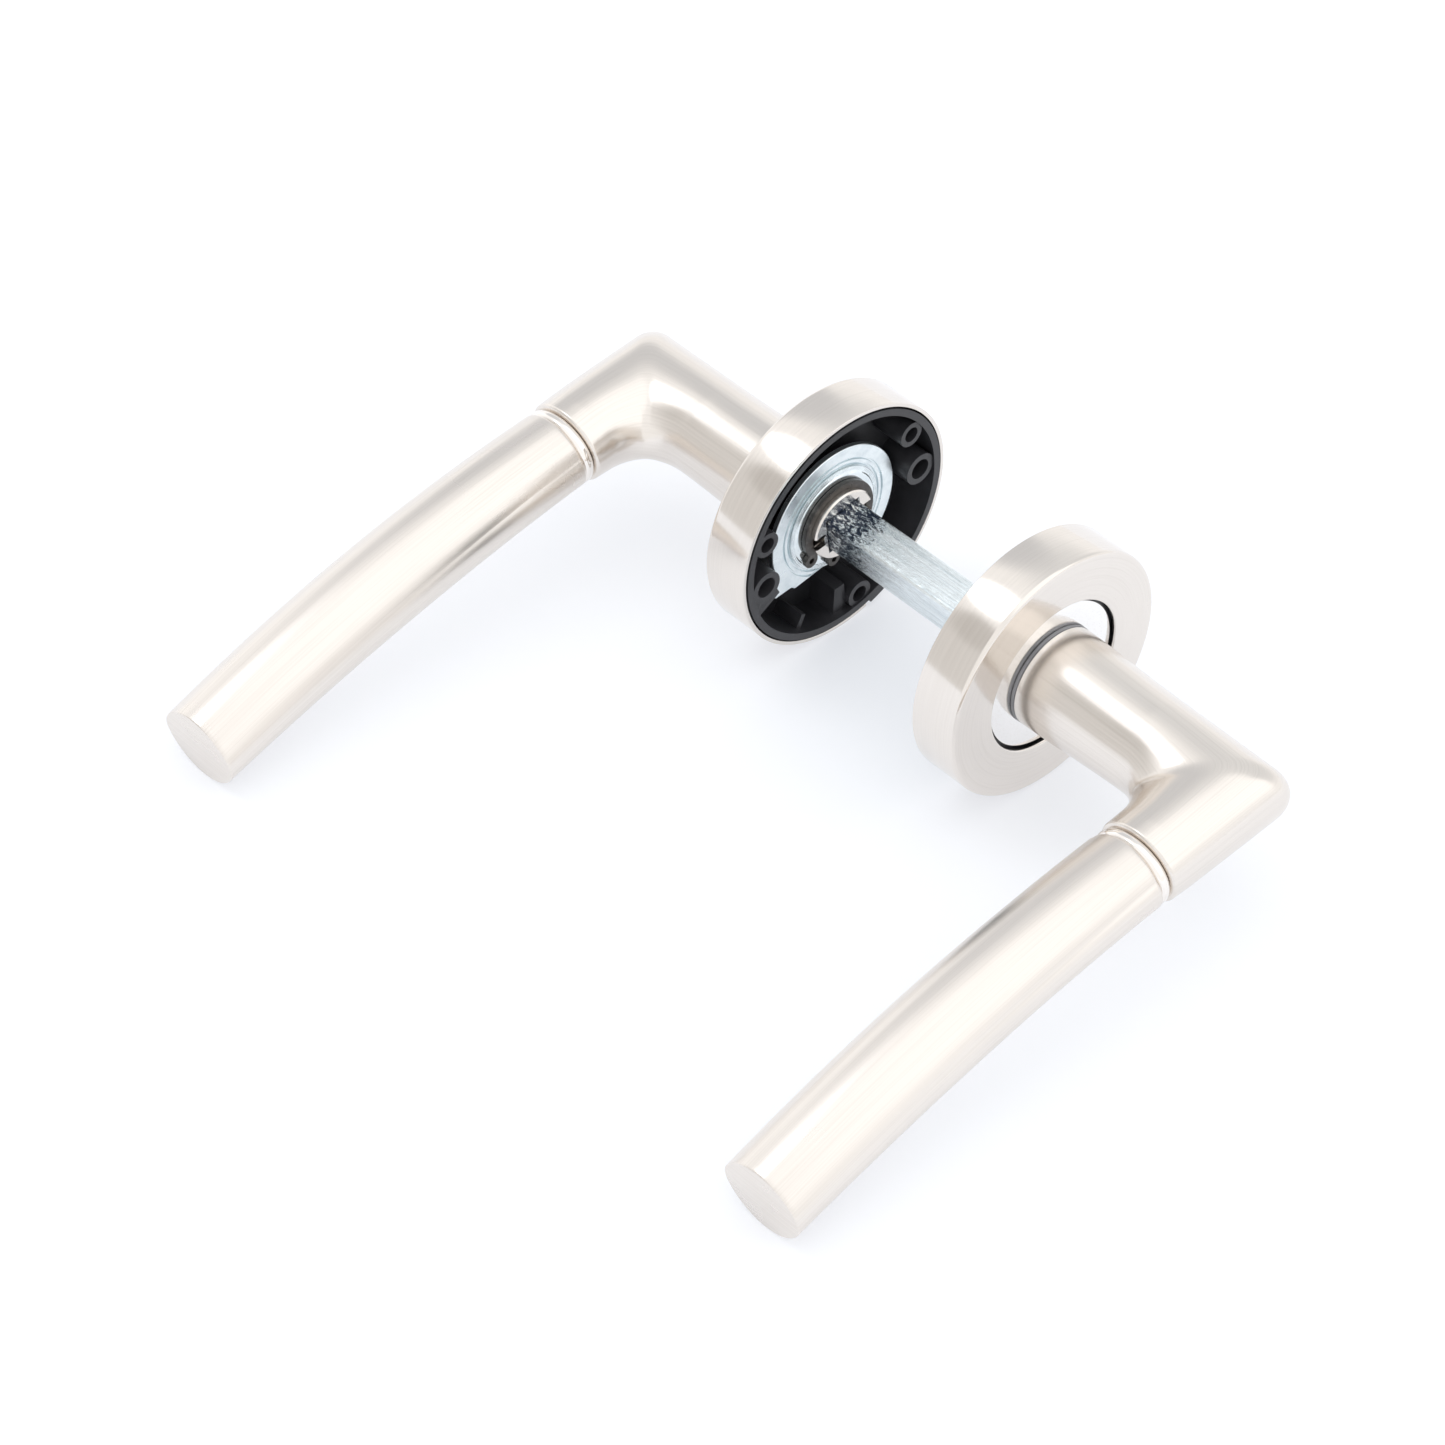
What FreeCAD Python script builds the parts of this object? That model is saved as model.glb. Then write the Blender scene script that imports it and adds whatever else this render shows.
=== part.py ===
import FreeCAD, Part
import math
import os

# Lever-on-rose door handle set: two mirrored halves joined by one square spindle.
# The spindle lies along X and the door would fill the space between the two roses.
# Origin: on the spindle axis, midway between the roses. The levers point along -Y, +Z is up.
# "Out" is the distance from a door face along the spindle, away from the door.

V = FreeCAD.Vector
X_AXIS = V(1, 0, 0)
Z_AXIS = V(0, 0, 1)

# Door and spindle
DOOR_THICKNESS = 44.0
DOOR_HALF = DOOR_THICKNESS / 2
SPINDLE_SIDE = 8.0
SPINDLE_CORNER_R = 0.9
SPINDLE_HALF_LENGTH = 50.0
SOCKET_PLAY = 0.1
SOCKET_DEPTH_OUT = 41.0

# Rose cover
COVER_R = 26.0
COVER_WALL = 0.8
COVER_BACK_OUT = 0.15
COVER_NOTCH_OUT = 1.3
COVER_NOTCH_ANGLES = (278.0, 293.0)
COVER_FRONT_OUT = 10.5
COVER_EDGE_R = 0.9
COVER_OPENING_R = 16.0

# Rose base (moulded tray, open towards the door)
BASE_R = 24.9
BASE_WALL = 1.5
BASE_FRONT_OUT = 9.0
BASE_FLOOR = 1.0
BASE_HUB_R = 9.2
BASE_HUB_BACK_OUT = 4.9
BORE_PLAY = 0.07
SNAP_NOSE_R = 25.14
SNAP_NOSE_WIDTH = 5.0
SNAP_NOSE_OUT = (5.0, 6.5)
SNAP_NOSE_ANGLES = (45, 135, 225, 315)
BOSS_BACK_OUT = 0.4
FIXING_Y = 20.0
FIXING_Z = -1.0
FIXING_BOSS_R = 3.4
FIXING_HOLE_R = 2.15
SCREW_SEAT_R = 4.0
SCREW_SEAT_DEPTH = 0.6
SMALL_BOSS_Y = 18.6
SMALL_BOSS_Z = 9.6
SMALL_BOSS_R = 2.7
SMALL_HOLE_R = 1.6
LOW_BOSS_Y = 2.2
LOW_BOSS_Z = -21.4
LOW_BOSS_R = 2.85
LOW_HOLE_R = 1.7
REST_STOP_ANGLES = (188.0, 202.1)
REST_STOP_R = (17.3, 24.0)
TURN_STOP_ANGLES = (260.7, 269.0)
TURN_STOP_R = (17.3, 24.0)
STOP_BACK_OUT = 1.6
RIB_ANGLES = (236.0, 239.0)
RIB_R = (20.3, 24.0)
TAB_ANGLES = (280.0, 291.0)
TAB_R = (24.0, 25.8)
TAB_OUT = (0.0, 1.0)
SPRING_POST_ANGLE = 263.8
SPRING_POST_DISTANCE = 13.9
SPRING_POST_R = 1.3
SPRING_POST_BACK_OUT = 6.5

# Face disc and neck washer
DISC_R = 15.4
DISC_THICKNESS = 0.55
DISC_GAP = 0.05
NECK_WASHER_R = 10.65
NECK_WASHER_OUT = (9.65, 10.9)

# Spigot of the lever, which turns in the base
SPIGOT_R = 7.4
SPIGOT_END_OUT = 0.2
SPIGOT_CHAMFER = 0.3
CLIP_GROOVE_R = 6.8
CLIP_GROOVE_OUT = (1.4, 2.5)
KEYWAY_WIDTH = 2.8
KEYWAY_INNER_R = 5.1
KEYWAY_END_OUT = 5.0
NECK_START_OUT = 11.0

# Cam plate, thrust washer and circlip, from inside to the spigot's end
CAM_OUT = (3.2, 4.4)
CAM_R = 15.6
CAM_CUT_Z = -11.0
CAM_HOLE_PLAY = 0.1
CAM_KEY_WIDTH = 2.6
CAM_KEY_INNER_R = 5.3
HORN_ANGLE = 209.0
HORN_TIP_R = 18.8
HORN_TIP_HALF_WIDTH = 0.9
HORN_ROOT_R = 12.5
HORN_ROOT_HALF_WIDTH = 5.2
CAM_HOOK_ANGLE = 204.6
CAM_HOOK_WIDTH = 2.2
CAM_HOOK_R = (13.2, 14.4)
CAM_HOOK_LENGTH = 1.7
WASHER_OUT = (2.55, 3.15)
WASHER_R = 11.2
WASHER_DISH = 0.3
WASHER_RIM_R = 10.2
WASHER_WALL = 0.3
CLIP_OUT = (1.45, 2.45)
CLIP_INNER_R = 6.85
CLIP_OUTER_R = 8.8
CLIP_GAP_ANGLES = (216.0, 252.0)
CLIP_EAR_R = 1.55
CLIP_EAR_DISTANCE = 9.0
CLIP_EAR_HOLE_R = 0.6
CLIP_EAR_ANGLES = (212.0, 256.0)

# Return spring
SPRING_WIRE_R = 0.45
SPRING_COIL_R = 10.7
SPRING_START_OUT = 5.2
SPRING_PITCH = 1.05
SPRING_START_ANGLE = 252.0
SPRING_TURNS = 1.9
SPRING_LEG = 9.0

# Lever: neck, mitred elbow and arched grip
NECK_R = 10.4
GRIP_AXIS_OUT = 52.9
ELBOW_NECK_HALF_Y = 9.9
ELBOW_NECK_HALF_Z = 9.5
ELBOW_ARM_HALF_X = 9.3
ELBOW_ARM_HALF_Z = 8.2
ELBOW_INNER_R = 8.0
ELBOW_OUTER_R = 5.5
ELBOW_FAN_ANGLES = (0, 9, 18, 26, 33, 39, 45, 51, 57, 64, 72, 81, 90)
NECK_STATIONS = 6
QUARTER_POINTS = 6
ARCH_R = 360.0
ARCH_START_DEG = -6.4
RING_CENTRE_ALONG = 23.5
RING_WIDTH = 2.6
RING_INSET = 0.5
RING_EDGE_R = 0.7
END_BREAK = 0.7
GRIP_END_ALONG = 115.8
GRIP_OVERRUN = 9.0
GRIP_STATIONS = 9
GRIP_HALF_X = (9.2, 9.4, 9.25)
GRIP_HALF_Z = (7.9, 8.4, 7.35)
GRIP_SIDE_HALF_Z = (3.4, 2.6, 2.0)
GRIP_SIDE_BULGE = (1.5, 0.8, 0.5)
TENON_INSET = 3.6
TENON_LENGTH = 14.0
TENON_PLAY = 0.05
TENON_END_GAP = 0.4

# Grub screw under the neck
GRUB_OUT = 18.0
GRUB_R = 2.5
GRUB_PLAY = 0.04
GRUB_TOP_Z = -4.05
GRUB_LENGTH = 5.6
GRUB_HEX_ACROSS = 2.5
GRUB_HEX_DEPTH = 2.4

BIG = 200.0


def at(out):
    """X of a plane a given distance out from the right-hand door face."""
    return DOOR_HALF + out


def polar(radius, degrees):
    """Y and Z of a point on a circle about the spindle, from +Y towards +Z."""
    angle = math.radians(degrees)
    return radius * math.cos(angle), radius * math.sin(angle)


def rod(radius, out_0, out_1, y=0.0, z=0.0):
    """Round bar parallel to the spindle."""
    return Part.makeCylinder(radius, out_1 - out_0, V(at(out_0), y, z), X_AXIS)


def tube(inner_r, outer_r, out_0, out_1):
    """Ring about the spindle axis."""
    return rod(outer_r, out_0, out_1).cut(rod(inner_r, out_0 - 1, out_1 + 1))


def block(out_0, out_1, y_0, y_1, z_0, z_1):
    """Box between two planes across each axis."""
    return Part.makeBox(out_1 - out_0, y_1 - y_0, z_1 - z_0, V(at(out_0), y_0, z_0))


def turn_x(shape, degrees):
    """The shape turned about the spindle axis."""
    turned = shape.copy()
    turned.rotate(V(0, 0, 0), X_AXIS, degrees)
    return turned


def sector(r_pair, angles, out_0, out_1):
    """Curved block between two radii and two angles about the spindle."""
    ring = Part.makeCylinder(r_pair[1], out_1 - out_0, V(at(out_0), 0, 0), X_AXIS, angles[1] - angles[0])
    ring = ring.cut(rod(r_pair[0], out_0 - 1, out_1 + 1))
    return turn_x(ring, angles[0] - sector_start_angle())


def sector_start_angle():
    """Angle about the spindle at which FreeCAD starts a part-turn cylinder along X."""
    slim = Part.makeCylinder(10.0, 1.0, V(0, 0, 0), X_AXIS, 2.0)
    centre = slim.CenterOfMass
    return math.degrees(math.atan2(centre.z, centre.y)) - 1.0


def spindle():
    """Square bar with rounded corners and chamfered ends."""
    half = SPINDLE_SIDE / 2
    length = 2 * SPINDLE_HALF_LENGTH
    bar = Part.makeBox(length, SPINDLE_SIDE, SPINDLE_SIDE, V(-SPINDLE_HALF_LENGTH, -half, -half))
    long_edges = [e for e in bar.Edges if e.Length > SPINDLE_SIDE * 2]
    return bar.makeFillet(SPINDLE_CORNER_R, long_edges)


# ---------------------------------------------------------------- rose

def rose_cover():
    """Thin pressed cap with a round opening in its face and a notch for the base's tab."""
    shell = rod(COVER_R, COVER_BACK_OUT, COVER_FRONT_OUT)
    front_rim = [e for e in shell.Edges if abs(e.CenterOfMass.x - at(COVER_FRONT_OUT)) < 0.01]
    shell = shell.makeFillet(COVER_EDGE_R, front_rim)
    shell = shell.cut(rod(COVER_R - COVER_WALL, COVER_BACK_OUT - 1, COVER_FRONT_OUT - COVER_WALL))
    shell = shell.cut(rod(COVER_OPENING_R, COVER_BACK_OUT, COVER_FRONT_OUT + 1))
    notch_r = (COVER_R - 2 * COVER_WALL, COVER_R + 1)
    return shell.cut(sector(notch_r, COVER_NOTCH_ANGLES, COVER_BACK_OUT - 1, COVER_NOTCH_OUT))


def boss(y, z, outer_r):
    """Round post from the base's floor towards the door."""
    return rod(outer_r, BOSS_BACK_OUT, BASE_FRONT_OUT, y, z)


def fixing_places():
    """Y, Z, boss radius and hole radius of every screw boss."""
    places = []
    for side in (-1, 1):
        places.append((side * FIXING_Y, FIXING_Z, FIXING_BOSS_R, FIXING_HOLE_R))
        places.append((side * SMALL_BOSS_Y, SMALL_BOSS_Z, SMALL_BOSS_R, SMALL_HOLE_R))
    places.append((LOW_BOSS_Y, LOW_BOSS_Z, LOW_BOSS_R, LOW_HOLE_R))
    return places


def snap_noses():
    """Short raised noses on the rim that grip the inside of the cover."""
    half = SNAP_NOSE_WIDTH / 2
    nose = block(SNAP_NOSE_OUT[0], SNAP_NOSE_OUT[1], BASE_R - BASE_WALL, BASE_R + 1, -half, half)
    nose = nose.common(rod(SNAP_NOSE_R, 0, BASE_FRONT_OUT))
    return [turn_x(nose, angle) for angle in SNAP_NOSE_ANGLES]


def rose_base():
    """Moulded tray with rim, floor, hub, screw bosses and the two stops for the cam horn."""
    floor_back = BASE_FRONT_OUT - BASE_FLOOR
    rim = tube(BASE_R - BASE_WALL, BASE_R, 0, BASE_FRONT_OUT)
    floor = rod(BASE_R, floor_back, BASE_FRONT_OUT)
    hub = rod(BASE_HUB_R, BASE_HUB_BACK_OUT, BASE_FRONT_OUT)
    extras = [boss(y, z, outer) for y, z, outer, hole in fixing_places()]
    extras.append(sector(REST_STOP_R, REST_STOP_ANGLES, STOP_BACK_OUT, BASE_FRONT_OUT))
    extras.append(sector(TURN_STOP_R, TURN_STOP_ANGLES, STOP_BACK_OUT, BASE_FRONT_OUT))
    extras.append(sector(RIB_R, RIB_ANGLES, STOP_BACK_OUT, BASE_FRONT_OUT))
    post_y, post_z = polar(SPRING_POST_DISTANCE, SPRING_POST_ANGLE)
    extras.append(rod(SPRING_POST_R, SPRING_POST_BACK_OUT, BASE_FRONT_OUT, post_y, post_z))
    tray = rim.fuse([floor, hub] + extras).common(rod(BASE_R, 0, BASE_FRONT_OUT))
    tray = tray.fuse(snap_noses() + [sector(TAB_R, TAB_ANGLES, TAB_OUT[0], TAB_OUT[1])])
    tray = tray.cut(rod(SPIGOT_R + BORE_PLAY, -1, BASE_FRONT_OUT + 1))
    for y, z, outer, hole in fixing_places():
        tray = tray.cut(rod(hole, -1, BASE_FRONT_OUT + 1, y, z))
    for side in (-1, 1):
        seat_out = BASE_FRONT_OUT - SCREW_SEAT_DEPTH
        tray = tray.cut(rod(SCREW_SEAT_R, seat_out, BASE_FRONT_OUT + 1, side * FIXING_Y, FIXING_Z))
    return tray.removeSplitter()


def face_disc():
    """Bright disc that fills the cover's opening."""
    start = BASE_FRONT_OUT + DISC_GAP
    return tube(SPIGOT_R + 0.2, DISC_R, start, start + DISC_THICKNESS)


def neck_washer():
    """Dark bearing ring between the neck's shoulder and the face disc."""
    return tube(SPIGOT_R + BORE_PLAY, NECK_WASHER_R, NECK_WASHER_OUT[0], NECK_WASHER_OUT[1])


# ---------------------------------------------------------------- return mechanism

def horn():
    """Pointed tail of the cam plate, drawn along +Y and turned to its place."""
    points = [(HORN_ROOT_R, -HORN_ROOT_HALF_WIDTH), (HORN_TIP_R - 0.6, -HORN_TIP_HALF_WIDTH),
              (HORN_TIP_R, 0), (HORN_TIP_R - 0.6, HORN_TIP_HALF_WIDTH), (HORN_ROOT_R, HORN_ROOT_HALF_WIDTH)]
    corners = [V(at(CAM_OUT[0]), y, z) for y, z in points]
    outline = Part.makePolygon(corners + [corners[0]])
    tail = Part.Face(outline).extrude(X_AXIS * (CAM_OUT[1] - CAM_OUT[0]))
    return turn_x(tail, HORN_ANGLE)


def cam_hook():
    """Lug bent up from the cam plate that carries one spring leg."""
    half = CAM_HOOK_WIDTH / 2
    lug = block(CAM_OUT[0], CAM_OUT[1] + CAM_HOOK_LENGTH, CAM_HOOK_R[0], CAM_HOOK_R[1], -half, half)
    arm = block(CAM_OUT[0], CAM_OUT[1], SPIGOT_R + 1, CAM_HOOK_R[1], -half, half)
    return turn_x(lug.fuse(arm), CAM_HOOK_ANGLE)


def cam_plate():
    """Plate keyed to the spigot; its horn swings between the two stops of the base."""
    plate = rod(CAM_R, CAM_OUT[0], CAM_OUT[1])
    plate = plate.cut(block(CAM_OUT[0] - 1, CAM_OUT[1] + 1, -BIG, BIG, -BIG, CAM_CUT_Z))
    plate = plate.fuse([horn(), cam_hook()])
    plate = plate.cut(rod(SPIGOT_R + CAM_HOLE_PLAY, CAM_OUT[0] - 1, CAM_OUT[1] + 1))
    half = CAM_KEY_WIDTH / 2
    for side in (0, 180):
        key = block(CAM_OUT[0], CAM_OUT[1], CAM_KEY_INNER_R, SPIGOT_R + 1, -half, half)
        plate = plate.fuse(turn_x(key, side))
    return plate.removeSplitter()


def thrust_washer():
    """Dished washer between the cam plate and the circlip."""
    inner = SPIGOT_R + CAM_HOLE_PLAY
    back, front = WASHER_OUT
    profile = [(inner, back), (WASHER_RIM_R - WASHER_WALL, back), (WASHER_RIM_R, back + WASHER_DISH),
               (WASHER_R, back + WASHER_DISH), (WASHER_R, front), (WASHER_RIM_R - WASHER_WALL, front),
               (WASHER_RIM_R - 2 * WASHER_WALL, back + WASHER_WALL), (inner, back + WASHER_WALL)]
    corners = [V(at(out), radius, 0) for radius, out in profile]
    face = Part.Face(Part.makePolygon(corners + [corners[0]]))
    return face.revolve(V(0, 0, 0), X_AXIS, 360)


def circlip():
    """Open retaining ring with two eyed ears, seated in the spigot's groove."""
    ring = tube(CLIP_INNER_R, CLIP_OUTER_R, CLIP_OUT[0], CLIP_OUT[1])
    ring = ring.cut(sector((1.0, CLIP_OUTER_R + 1), CLIP_GAP_ANGLES, CLIP_OUT[0] - 1, CLIP_OUT[1] + 1))
    for angle in CLIP_EAR_ANGLES:
        y, z = polar(CLIP_EAR_DISTANCE, angle)
        ring = ring.fuse(rod(CLIP_EAR_R, CLIP_OUT[0], CLIP_OUT[1], y, z))
    ring = ring.cut(rod(CLIP_INNER_R, CLIP_OUT[0] - 1, CLIP_OUT[1] + 1))
    for angle in CLIP_EAR_ANGLES:
        y, z = polar(CLIP_EAR_DISTANCE, angle)
        ring = ring.cut(rod(CLIP_EAR_HOLE_R, CLIP_OUT[0] - 1, CLIP_OUT[1] + 1, y, z))
    return ring


def return_spring():
    """Torsion spring about the hub, with a straight leg at each end."""
    points = []
    steps = 48
    for i in range(steps + 1):
        part = i / steps
        y, z = polar(SPRING_COIL_R, SPRING_START_ANGLE + 360 * SPRING_TURNS * part)
        points.append(V(at(SPRING_START_OUT + SPRING_PITCH * SPRING_TURNS * part), y, z))
    coil = Part.BSplineCurve()
    coil.interpolate(points)
    first_dir = coil.tangent(coil.FirstParameter)[0]
    last_dir = coil.tangent(coil.LastParameter)[0]
    leg_0 = Part.LineSegment(points[0] - first_dir * SPRING_LEG, points[0]).toShape()
    leg_1 = Part.LineSegment(points[-1], points[-1] + last_dir * SPRING_LEG).toShape()
    path = Part.Wire([leg_0, coil.toShape(), leg_1])
    start = points[0] - first_dir * SPRING_LEG
    section = Part.Wire(Part.Circle(start, first_dir, SPRING_WIRE_R).toShape())
    return Part.Solid(path.makePipeShell([section], True, True))


# ---------------------------------------------------------------- lever

def arch_angle(along):
    """Downward slope in radians of the lever's centre line, a distance from the neck axis."""
    return math.radians(ARCH_START_DEG) + along / ARCH_R


def arch_point(along):
    """Point on the lever's centre line."""
    start = math.radians(ARCH_START_DEG)
    angle = arch_angle(along)
    y = -ARCH_R * (math.sin(angle) - math.sin(start))
    z = ARCH_R * (math.cos(angle) - math.cos(start))
    return V(at(GRIP_AXIS_OUT), y, z)


def arch_direction(along):
    """Unit vector along the lever towards its free end."""
    angle = arch_angle(along)
    return V(0, -math.cos(angle), -math.sin(angle))


def arch_up(along):
    """Unit vector square to the centre line, upwards."""
    angle = arch_angle(along)
    return V(0, -math.sin(angle), math.cos(angle))


def oval(centre, side, up, half_side, half_up):
    """Closed elliptical wire made of four quarter curves."""
    def place(angle):
        return centre + side * (half_side * math.cos(angle)) + up * (half_up * math.sin(angle))

    def heading(angle):
        return up * (half_up * math.cos(angle)) - side * (half_side * math.sin(angle))

    quarters = []
    for number in range(4):
        start = math.pi / 2 * number
        angles = [start + math.pi / 2 * i / QUARTER_POINTS for i in range(QUARTER_POINTS + 1)]
        curve = Part.BSplineCurve()
        curve.interpolate(Points=[place(angle) for angle in angles],
                          InitialTangent=heading(angles[0]), FinalTangent=heading(angles[-1]))
        quarters.append(curve.toShape())
    return Part.Wire(quarters)


def corner_distance(across, beside, angle):
    """Distance from the fan's centre to the rounded outer corner, in a direction from the +Y side."""
    sine, cosine = math.sin(angle), math.cos(angle)
    centre_x, centre_y = beside - ELBOW_OUTER_R, across - ELBOW_OUTER_R
    if cosine > 0 and across * sine / cosine <= centre_x:
        return across / cosine
    if sine > 0 and beside * cosine / sine <= centre_y:
        return beside / sine
    middle = centre_x * sine + centre_y * cosine
    gap = centre_x ** 2 + centre_y ** 2 - ELBOW_OUTER_R ** 2
    return middle + math.sqrt(middle ** 2 - gap)


def elbow_sections():
    """Wires of the neck, the mitred corner and the short arm, in order."""
    y_dir = V(0, 1, 0)
    fan_x = at(GRIP_AXIS_OUT) - ELBOW_ARM_HALF_X - ELBOW_INNER_R
    fan_y = -ELBOW_NECK_HALF_Y - ELBOW_INNER_R
    across = ELBOW_INNER_R + 2 * ELBOW_NECK_HALF_Y
    beside = ELBOW_INNER_R + 2 * ELBOW_ARM_HALF_X
    neck_x = at(NECK_START_OUT)
    wires = []
    for i in range(NECK_STATIONS):
        part = i / NECK_STATIONS
        eased = part * part * (3 - 2 * part)
        half_y = NECK_R + (ELBOW_NECK_HALF_Y - NECK_R) * eased
        half_z = NECK_R + (ELBOW_NECK_HALF_Z - NECK_R) * eased
        centre = V(neck_x + (fan_x - neck_x) * part, 0, 0)
        wires.append(oval(centre, y_dir, Z_AXIS, half_y, half_z))
    for degrees in ELBOW_FAN_ANGLES:
        angle = math.radians(degrees)
        outward = V(math.sin(angle), math.cos(angle), 0)
        half = (corner_distance(across, beside, angle) - ELBOW_INNER_R) / 2
        share = degrees / 90
        half_z = ELBOW_NECK_HALF_Z + (ELBOW_ARM_HALF_Z - ELBOW_NECK_HALF_Z) * share
        centre = V(fan_x, fan_y, 0) + outward * (ELBOW_INNER_R + half)
        centre.z = arch_point(max(0.0, -centre.y)).z
        wires.append(oval(centre, outward, Z_AXIS, half, half_z))
    return wires


def ring_plane():
    """Centre, direction and upward vector of the joint between elbow and grip."""
    return arch_point(RING_CENTRE_ALONG), arch_direction(RING_CENTRE_ALONG), arch_up(RING_CENTRE_ALONG)


def joint_oval(offset, inset):
    """Oval at the joint, a distance along the lever and smaller all round by the inset."""
    centre, direction, up = ring_plane()
    return oval(centre + direction * offset, X_AXIS, up, GRIP_HALF_X[0] - inset, GRIP_HALF_Z[0] - inset)


def joint_prism(start, end, inset):
    """Oval bar along the joint's direction."""
    direction = ring_plane()[1]
    return Part.Face(joint_oval(start, inset)).extrude(direction * (end - start))


def tenon(play):
    """Oval tongue of the elbow that carries the ring and the grip."""
    length = TENON_LENGTH + (TENON_END_GAP if play else 0.0)
    return joint_prism(-RING_WIDTH / 2 - 1.0, length, TENON_INSET - play)


def elbow_blank():
    """Neck, mitred corner and arm as one skin, with a broken edge at the joint."""
    half_ring = RING_WIDTH / 2
    full_end = -half_ring - END_BREAK
    skin = Part.makeLoft(elbow_sections() + [joint_oval(full_end, 0.0)], True, False)
    lip = Part.makeLoft([joint_oval(full_end, 0.0), joint_oval(-half_ring, END_BREAK)], True, True)
    return skin.fuse(lip)


def spigot():
    """Round end that turns in the base, with circlip groove and two keyways."""
    post = rod(SPIGOT_R, SPIGOT_END_OUT, NECK_START_OUT + 3)
    end_rim = [e for e in post.Edges if abs(e.CenterOfMass.x - at(SPIGOT_END_OUT)) < 0.01]
    post = post.makeChamfer(SPIGOT_CHAMFER, end_rim)
    post = post.cut(tube(CLIP_GROOVE_R, SPIGOT_R + 1, CLIP_GROOVE_OUT[0], CLIP_GROOVE_OUT[1]))
    half = KEYWAY_WIDTH / 2
    for side in (0, 180):
        slot = block(-1, KEYWAY_END_OUT, KEYWAY_INNER_R, SPIGOT_R + 1, -half, half)
        post = post.cut(turn_x(slot, side))
    return post


def lever_elbow():
    """Casting of spigot, neck, corner, arm and tenon, bored for the spindle and the grub screw."""
    body = elbow_blank().fuse([spigot(), tenon(0.0)])
    half = SPINDLE_SIDE / 2 + SOCKET_PLAY
    body = body.cut(block(-1, SOCKET_DEPTH_OUT, -half, half, -half, half))
    screw_hole = Part.makeCylinder(GRUB_R + GRUB_PLAY, BIG / 10, V(at(GRUB_OUT), 0, 0), V(0, 0, -1))
    return body.cut(screw_hole)


def trim_ring():
    """Polished bead between elbow and grip."""
    half_ring = RING_WIDTH / 2
    bead = joint_prism(-half_ring, half_ring, RING_INSET)
    end_edges = [e for e in bead.Edges if abs(e.tangentAt(e.FirstParameter).dot(ring_plane()[1])) < 0.1]
    bead = bead.makeFillet(RING_EDGE_R, end_edges)
    return bead.cut(joint_prism(-half_ring - 1, half_ring + 1, TENON_INSET - TENON_PLAY))


def blend(values, share):
    """Parabola through three values at shares 0, 0.5 and 1."""
    first = values[0] * (1 - share) * (1 - 2 * share)
    return first + values[1] * 4 * share * (1 - share) + values[2] * share * (2 * share - 1)


def grip_wire(centre, up, half_x, half_z, side_half_z, bulge):
    """Lens-shaped outline: arched top and underside, narrow bowed sides."""
    shoulder = half_x - bulge

    def place(x, z):
        return centre + X_AXIS * x + up * z

    top = Part.Arc(place(shoulder, side_half_z), place(0, half_z), place(-shoulder, side_half_z))
    left = Part.Arc(place(-shoulder, side_half_z), place(-half_x, 0), place(-shoulder, -side_half_z))
    bottom = Part.Arc(place(-shoulder, -side_half_z), place(0, -half_z), place(shoulder, -side_half_z))
    right = Part.Arc(place(shoulder, -side_half_z), place(half_x, 0), place(shoulder, side_half_z))
    return Part.Wire([arc.toShape() for arc in (top, left, bottom, right)])


def grip_section(share, centre, up, inset):
    """Outline of the grip at a share of its length, smaller all round by the inset."""
    return grip_wire(centre, up, blend(GRIP_HALF_X, share) - inset, blend(GRIP_HALF_Z, share) - inset,
                     blend(GRIP_SIDE_HALF_Z, share) - inset / 2, blend(GRIP_SIDE_BULGE, share))


def grip():
    """Arched handle with a flat end, socketed over the elbow's tenon."""
    centre, direction, up = ring_plane()
    start = centre + direction * (RING_WIDTH / 2)
    inner = start + direction * END_BREAK
    first_along = RING_CENTRE_ALONG + RING_WIDTH / 2 + END_BREAK
    length = GRIP_END_ALONG - first_along
    wires = [grip_section(0.0, inner, up, 0.0)]
    for i in range(1, GRIP_STATIONS + 1):
        share = i / GRIP_STATIONS
        along = first_along + length * share
        wires.append(grip_section(share, arch_point(along), arch_up(along), 0.0))
    past = GRIP_END_ALONG + GRIP_OVERRUN
    wires.append(grip_section(1.0, arch_point(past), arch_up(past), 0.0))
    bar = Part.makeLoft(wires, True, False)
    lip = Part.makeLoft([grip_section(0.0, start, up, END_BREAK), wires[0]], True, True)
    bar = bar.fuse(lip)
    end_y = arch_point(GRIP_END_ALONG).y
    bar = bar.cut(Part.makeBox(BIG, BIG, BIG, V(0, end_y - BIG, -BIG / 2)))
    return bar.cut(tenon(TENON_PLAY)).removeSplitter()


def grub_screw():
    """Headless screw with a hexagon socket, pressing on the spindle from below."""
    bottom = GRUB_TOP_Z - GRUB_LENGTH
    screw = Part.makeCylinder(GRUB_R, GRUB_LENGTH, V(at(GRUB_OUT), 0, bottom))
    corner = GRUB_HEX_ACROSS / 2 / math.cos(math.pi / 6)
    corners = []
    for i in range(6):
        angle = math.pi / 3 * i
        corners.append(V(at(GRUB_OUT) + corner * math.cos(angle), corner * math.sin(angle), bottom))
    socket = Part.Face(Part.makePolygon(corners + [corners[0]])).extrude(V(0, 0, GRUB_HEX_DEPTH))
    return screw.cut(socket)


# ---------------------------------------------------------------- export

SIDE_PARTS = {
    "rose_cover": rose_cover,
    "rose_base": rose_base,
    "face_disc": face_disc,
    "neck_washer": neck_washer,
    "cam_plate": cam_plate,
    "thrust_washer": thrust_washer,
    "circlip": circlip,
    "return_spring": return_spring,
    "lever_elbow": lever_elbow,
    "trim_ring": trim_ring,
    "grip": grip,
    "grub_screw": grub_screw,
}


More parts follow.
